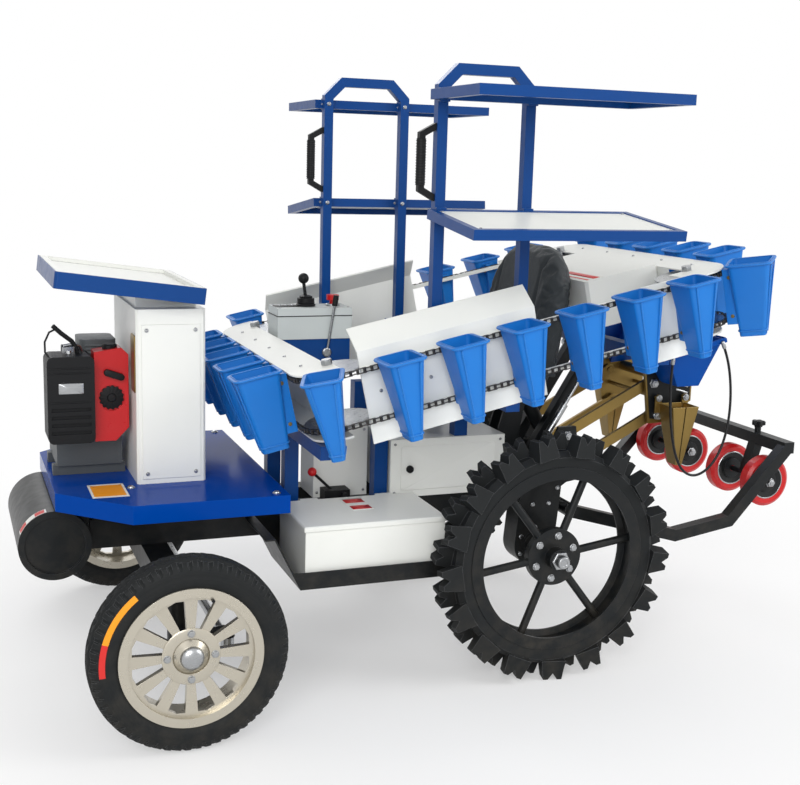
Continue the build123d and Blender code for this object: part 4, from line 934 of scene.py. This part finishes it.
# %% [markdown]
# ## Racks
# The rack handles wear ridged rubber sleeves: a lathe profile with a cosine on its radius. Screws hold the
# shelves to the posts and the sheets in their frames, and on the leaning lower shelves they lean as well.

# %% Rack sleeves, clamp screws and shelf screws
RACK_FRONTS = ((1, 330), (-1, 405))
SHELF_HEIGHTS = (1256, 1556)
SLEEVE_LONG, SHEET_RISE = 118, 23
climb = np.linspace(0, SLEEVE_LONG, 60)
ridge = np.column_stack([climb, 12.6 + 0.9 * np.cos(2 * np.pi * climb / 7)])
sleeve = turned(ridge, 20)
sleeve_places = [[x + 52, side * 365, 1341] for side, x in RACK_FRONTS]
show("rack_sleeves", fitted(sleeve, sleeve_places, UPWARD), "black_plastic", crease=60)
posts = [(side, x - back) for side, x in RACK_FRONTS for back in (0, 250)]
inner_clamps = [fitted(screw(6), [[x, side * 351, z + 13] for z in SHELF_HEIGHTS], (0, -side, 0))
                for side, x in posts]
front_places = [[x + 14, side * 384, z + 13] for side, x in posts for z in SHELF_HEIGHTS]
clamps = joined(*inner_clamps, fitted(screw(6), front_places, FORWARD, OUTWARD))
SHELF_LEAN = math.radians(7)
side, x, b, z, lean = np.array([
    (side, x + 36 - a, b, z, lean) for side, x in RACK_FRONTS for a in (30, 560) for b in (30, 270)
    for z, lean in ((1556, 0), (1256, SHELF_LEAN))]).T
sheet_places = np.stack([x, side * (379 + b * np.cos(lean) + SHEET_RISE * np.sin(lean)),
                         z - b * np.sin(lean) + SHEET_RISE * np.cos(lean)], -1)
sheet_ways = np.stack([0 * x, side * np.sin(lean), np.cos(lean)], -1)
show("rack_screws", joined(clamps, fitted(screw(4), sheet_places, sheet_ways)), "steel")

# %% [markdown]
# ## The tray's white lining
# The front tray is painted white inside and over its rim, down to a narrow blue edge. A thin frame over the
# rim shows that border and leaves the tray's floor free. Its section goes round the rim's inner edge: six
# rounded rectangles are joined one after another and the last one to the first.

# %% Lining of the front tray
TRAY_LONG, TRAY_WIDE, TRAY_WALL = 375, 520, 22
TRAY_TILT = math.radians(7)
inner_long, inner_wide = TRAY_LONG - 2 * TRAY_WALL, TRAY_WIDE - 2 * TRAY_WALL
edge_line = (TRAY_LONG - 7, TRAY_WIDE - 7, 7)
free_line, wall_line = (inner_long - 1.6, inner_wide - 1.6, 1), (inner_long, inner_wide, 1)
section = [(edge_line, 21), (edge_line, 21.8), (free_line, 21.8), (free_line, 11.2), (wall_line, 11.2),
           (wall_line, 21)]
lining = welded(np.stack([rounded_line(*line, height) for line, height in section]), True, True)
tray_up = (-math.sin(TRAY_TILT), 0, math.cos(TRAY_TILT))
tray_along = (math.cos(TRAY_TILT), 0, math.sin(TRAY_TILT))
show("tray_lining", fitted(lining, [1102.5, 0, 1070], tray_up, tray_along), "white_paint")

# %% [markdown]
# ## Controls
# The control box is a moulded case with a gasket under its lid, a dark panel with three lamps, a bellows at
# the lever and a collar under the stop button. A thin shift rod with a grip stands beside it.

# %% Control box details
LID_TOP, BOX_Y = 962, -220
folds = [(0, 29), (5, 30), (8, 26), (13, 27.5), (16, 23), (21, 24.5), (25, 19), (30, 20), (34, 9)]
bellows = fitted(turned(folds, 28), [510, BOX_Y, LID_TOP], UPWARD)
gasket = tube(rounded_line(233.6, 111.6, 3) + mm([496, BOX_Y, 938]), 0.0014, 6, True)
panel = fitted(plate(74, 48, 2, 6), [572, BOX_Y, LID_TOP], UPWARD)
show("control_bellows", joined(bellows, gasket, panel), "black_plastic")
boss = turned([(0, 14), (9, 14), (11, 11)], 24)
rod = tube(mm([[459, -162, 827], [437, -158, 975]]), 0.004, 10)
show("shift_rod", joined(rod, fitted(boss, [459, -169, 827], OUTWARD)), "steel")
grip = tube(mm([[438, -158.2, 968], [434, -157.5, 996], [433.4, -157.4, 1000]]), 0.0085, 12)
show("shift_grip", grip, "black_plastic", crease=60)
lid_corners = [[x, y, LID_TOP] for x in (390, 602) for y in (-265, -175)]
glass = turned([(0, 5), (2, 5), (4, 3), (4.6, 0)], 14)
button_collar = hoop([(0, 12), (7, 12), (7, 20), (5, 22), (0, 22)])
show("control_screws", joined(fitted(screw(3.5), lid_corners, UPWARD),
                              fitted(glass, [[552 + 20 * k, BOX_Y, LID_TOP + 2] for k in range(3)], UPWARD),
                              fitted(button_collar, [425, BOX_Y, LID_TOP], UPWARD)), "steel")

# %% [markdown]
# ## Studio
# The photograph shows the machine on white. A pale sweep, floor and wall in one sheet, gives that ground
# and keeps the shadow under the wheels. Three large soft lamps and a pale sky light all sides evenly.

# %% Sweep, lamps and camera
bend = np.linspace(0, np.pi / 2, 13)
sweep_y = np.concatenate([[8.0], -6 - 3 * np.sin(bend), [-9.0]])
sweep_z = np.concatenate([[0.0], 3 - 3 * np.cos(bend), [14.0]])
sweep_x = np.linspace(-14, 14, 9)
grid = np.stack(np.broadcast_arrays(sweep_x[:, None], sweep_y[None], sweep_z[None]), -1)
ground = bpy.data.meshes.new("studio_sweep")
number = np.arange(grid[..., 0].size).reshape(grid.shape[:2])
quads = np.stack([number[:-1, :-1], number[:-1, 1:], number[1:, 1:], number[1:, :-1]], -1).reshape(-1, 4)
ground.from_pydata(grid.reshape(-1, 3).tolist(), [], quads.tolist())
sweep = bpy.data.objects.new("studio_sweep", ground)
scene.collection.objects.link(sweep)


def seen(tree):
    """1 for rays from the camera, mirrors and glass, which show the white ground, and 0 for the others."""
    path = node(tree, "LightPath").outputs
    first = maths(tree, "MAXIMUM", path["Is Camera Ray"], path["Is Glossy Ray"])
    return maths(tree, "MAXIMUM", first, path["Is Transmission Ray"])


paper = bpy.data.materials.new("studio_paper")
paper.use_nodes = True
tree = paper.node_tree
shader = tree.nodes["Principled BSDF"]
shader.inputs["Base Color"].default_value = (0.9, 0.9, 0.9, 1)
shader.inputs["Roughness"].default_value = 0.9
where = node(tree, "TexCoord").outputs["Object"]
away = node(tree, "VectorMath", {0: where}, operation="LENGTH").outputs["Value"]
share = maths(tree, "MULTIPLY", ranged(tree, away, 0.8, 2.4, 0.35, 1.0), seen(tree))
glow = node(tree, "Emission", {"Color": (1, 1, 1, 1), "Strength": 1.0}).outputs[0]
blend = node(tree, "MixShader", {0: share, 1: shader.outputs[0], 2: glow}).outputs[0]
tree.links.new(blend, tree.nodes["Material Output"].inputs[0])
ground.materials.append(paper)

SKY_LIGHT = 0.55
world = bpy.data.worlds.new("studio")
world.use_nodes = True
tree = world.node_tree
tree.nodes["Background"].inputs[0].default_value = (1, 1, 1, 1)
tree.links.new(ranged(tree, seen(tree), 0, 1, SKY_LIGHT, 1.0), tree.nodes["Background"].inputs[1])
scene.world = world


def lamp(name, place, size, power):
    """A square soft lamp that looks at the machine's middle."""
    data = bpy.data.lights.new(name, "AREA")
    data.size, data.energy = size, power
    made = bpy.data.objects.new(name, data)
    scene.collection.objects.link(made)
    made.location = place
    made.rotation_euler = (Vector((0, 0, 0.7)) - Vector(place)).to_track_quat("-Z", "Y").to_euler()


lamp("key", (2.5, 5.3, 3.2), 3.2, 205)
lamp("fill", (-4.4, 3.0, 3.0), 3.0, 130)
lamp("back", (0.5, -4.6, 4.4), 3.0, 105)
FOCAL_PIXELS, PICTURE_PIXELS, SENSOR = 1215, 800, 36
CAMERA_PLACE = (1.3134, 3.3127, 1.3896)
lens = bpy.data.cameras.new("camera")
lens.sensor_width, lens.lens = SENSOR, SENSOR * FOCAL_PIXELS / PICTURE_PIXELS
camera = bpy.data.objects.new("camera", lens)
scene.collection.objects.link(camera)
right = Vector((-0.93450374, 0.35486818, 0.02777286))
up = Vector((-0.03972914, -0.18152149, 0.98258412))
turn = Matrix((right, up, right.cross(up))).transposed().to_4x4()
camera.matrix_world = Matrix.Translation(CAMERA_PLACE) @ turn
scene.camera = camera
scene.view_settings.view_transform = "Standard"
print("lamps", len(bpy.data.lights), "lens", round(lens.lens, 2), "mm")
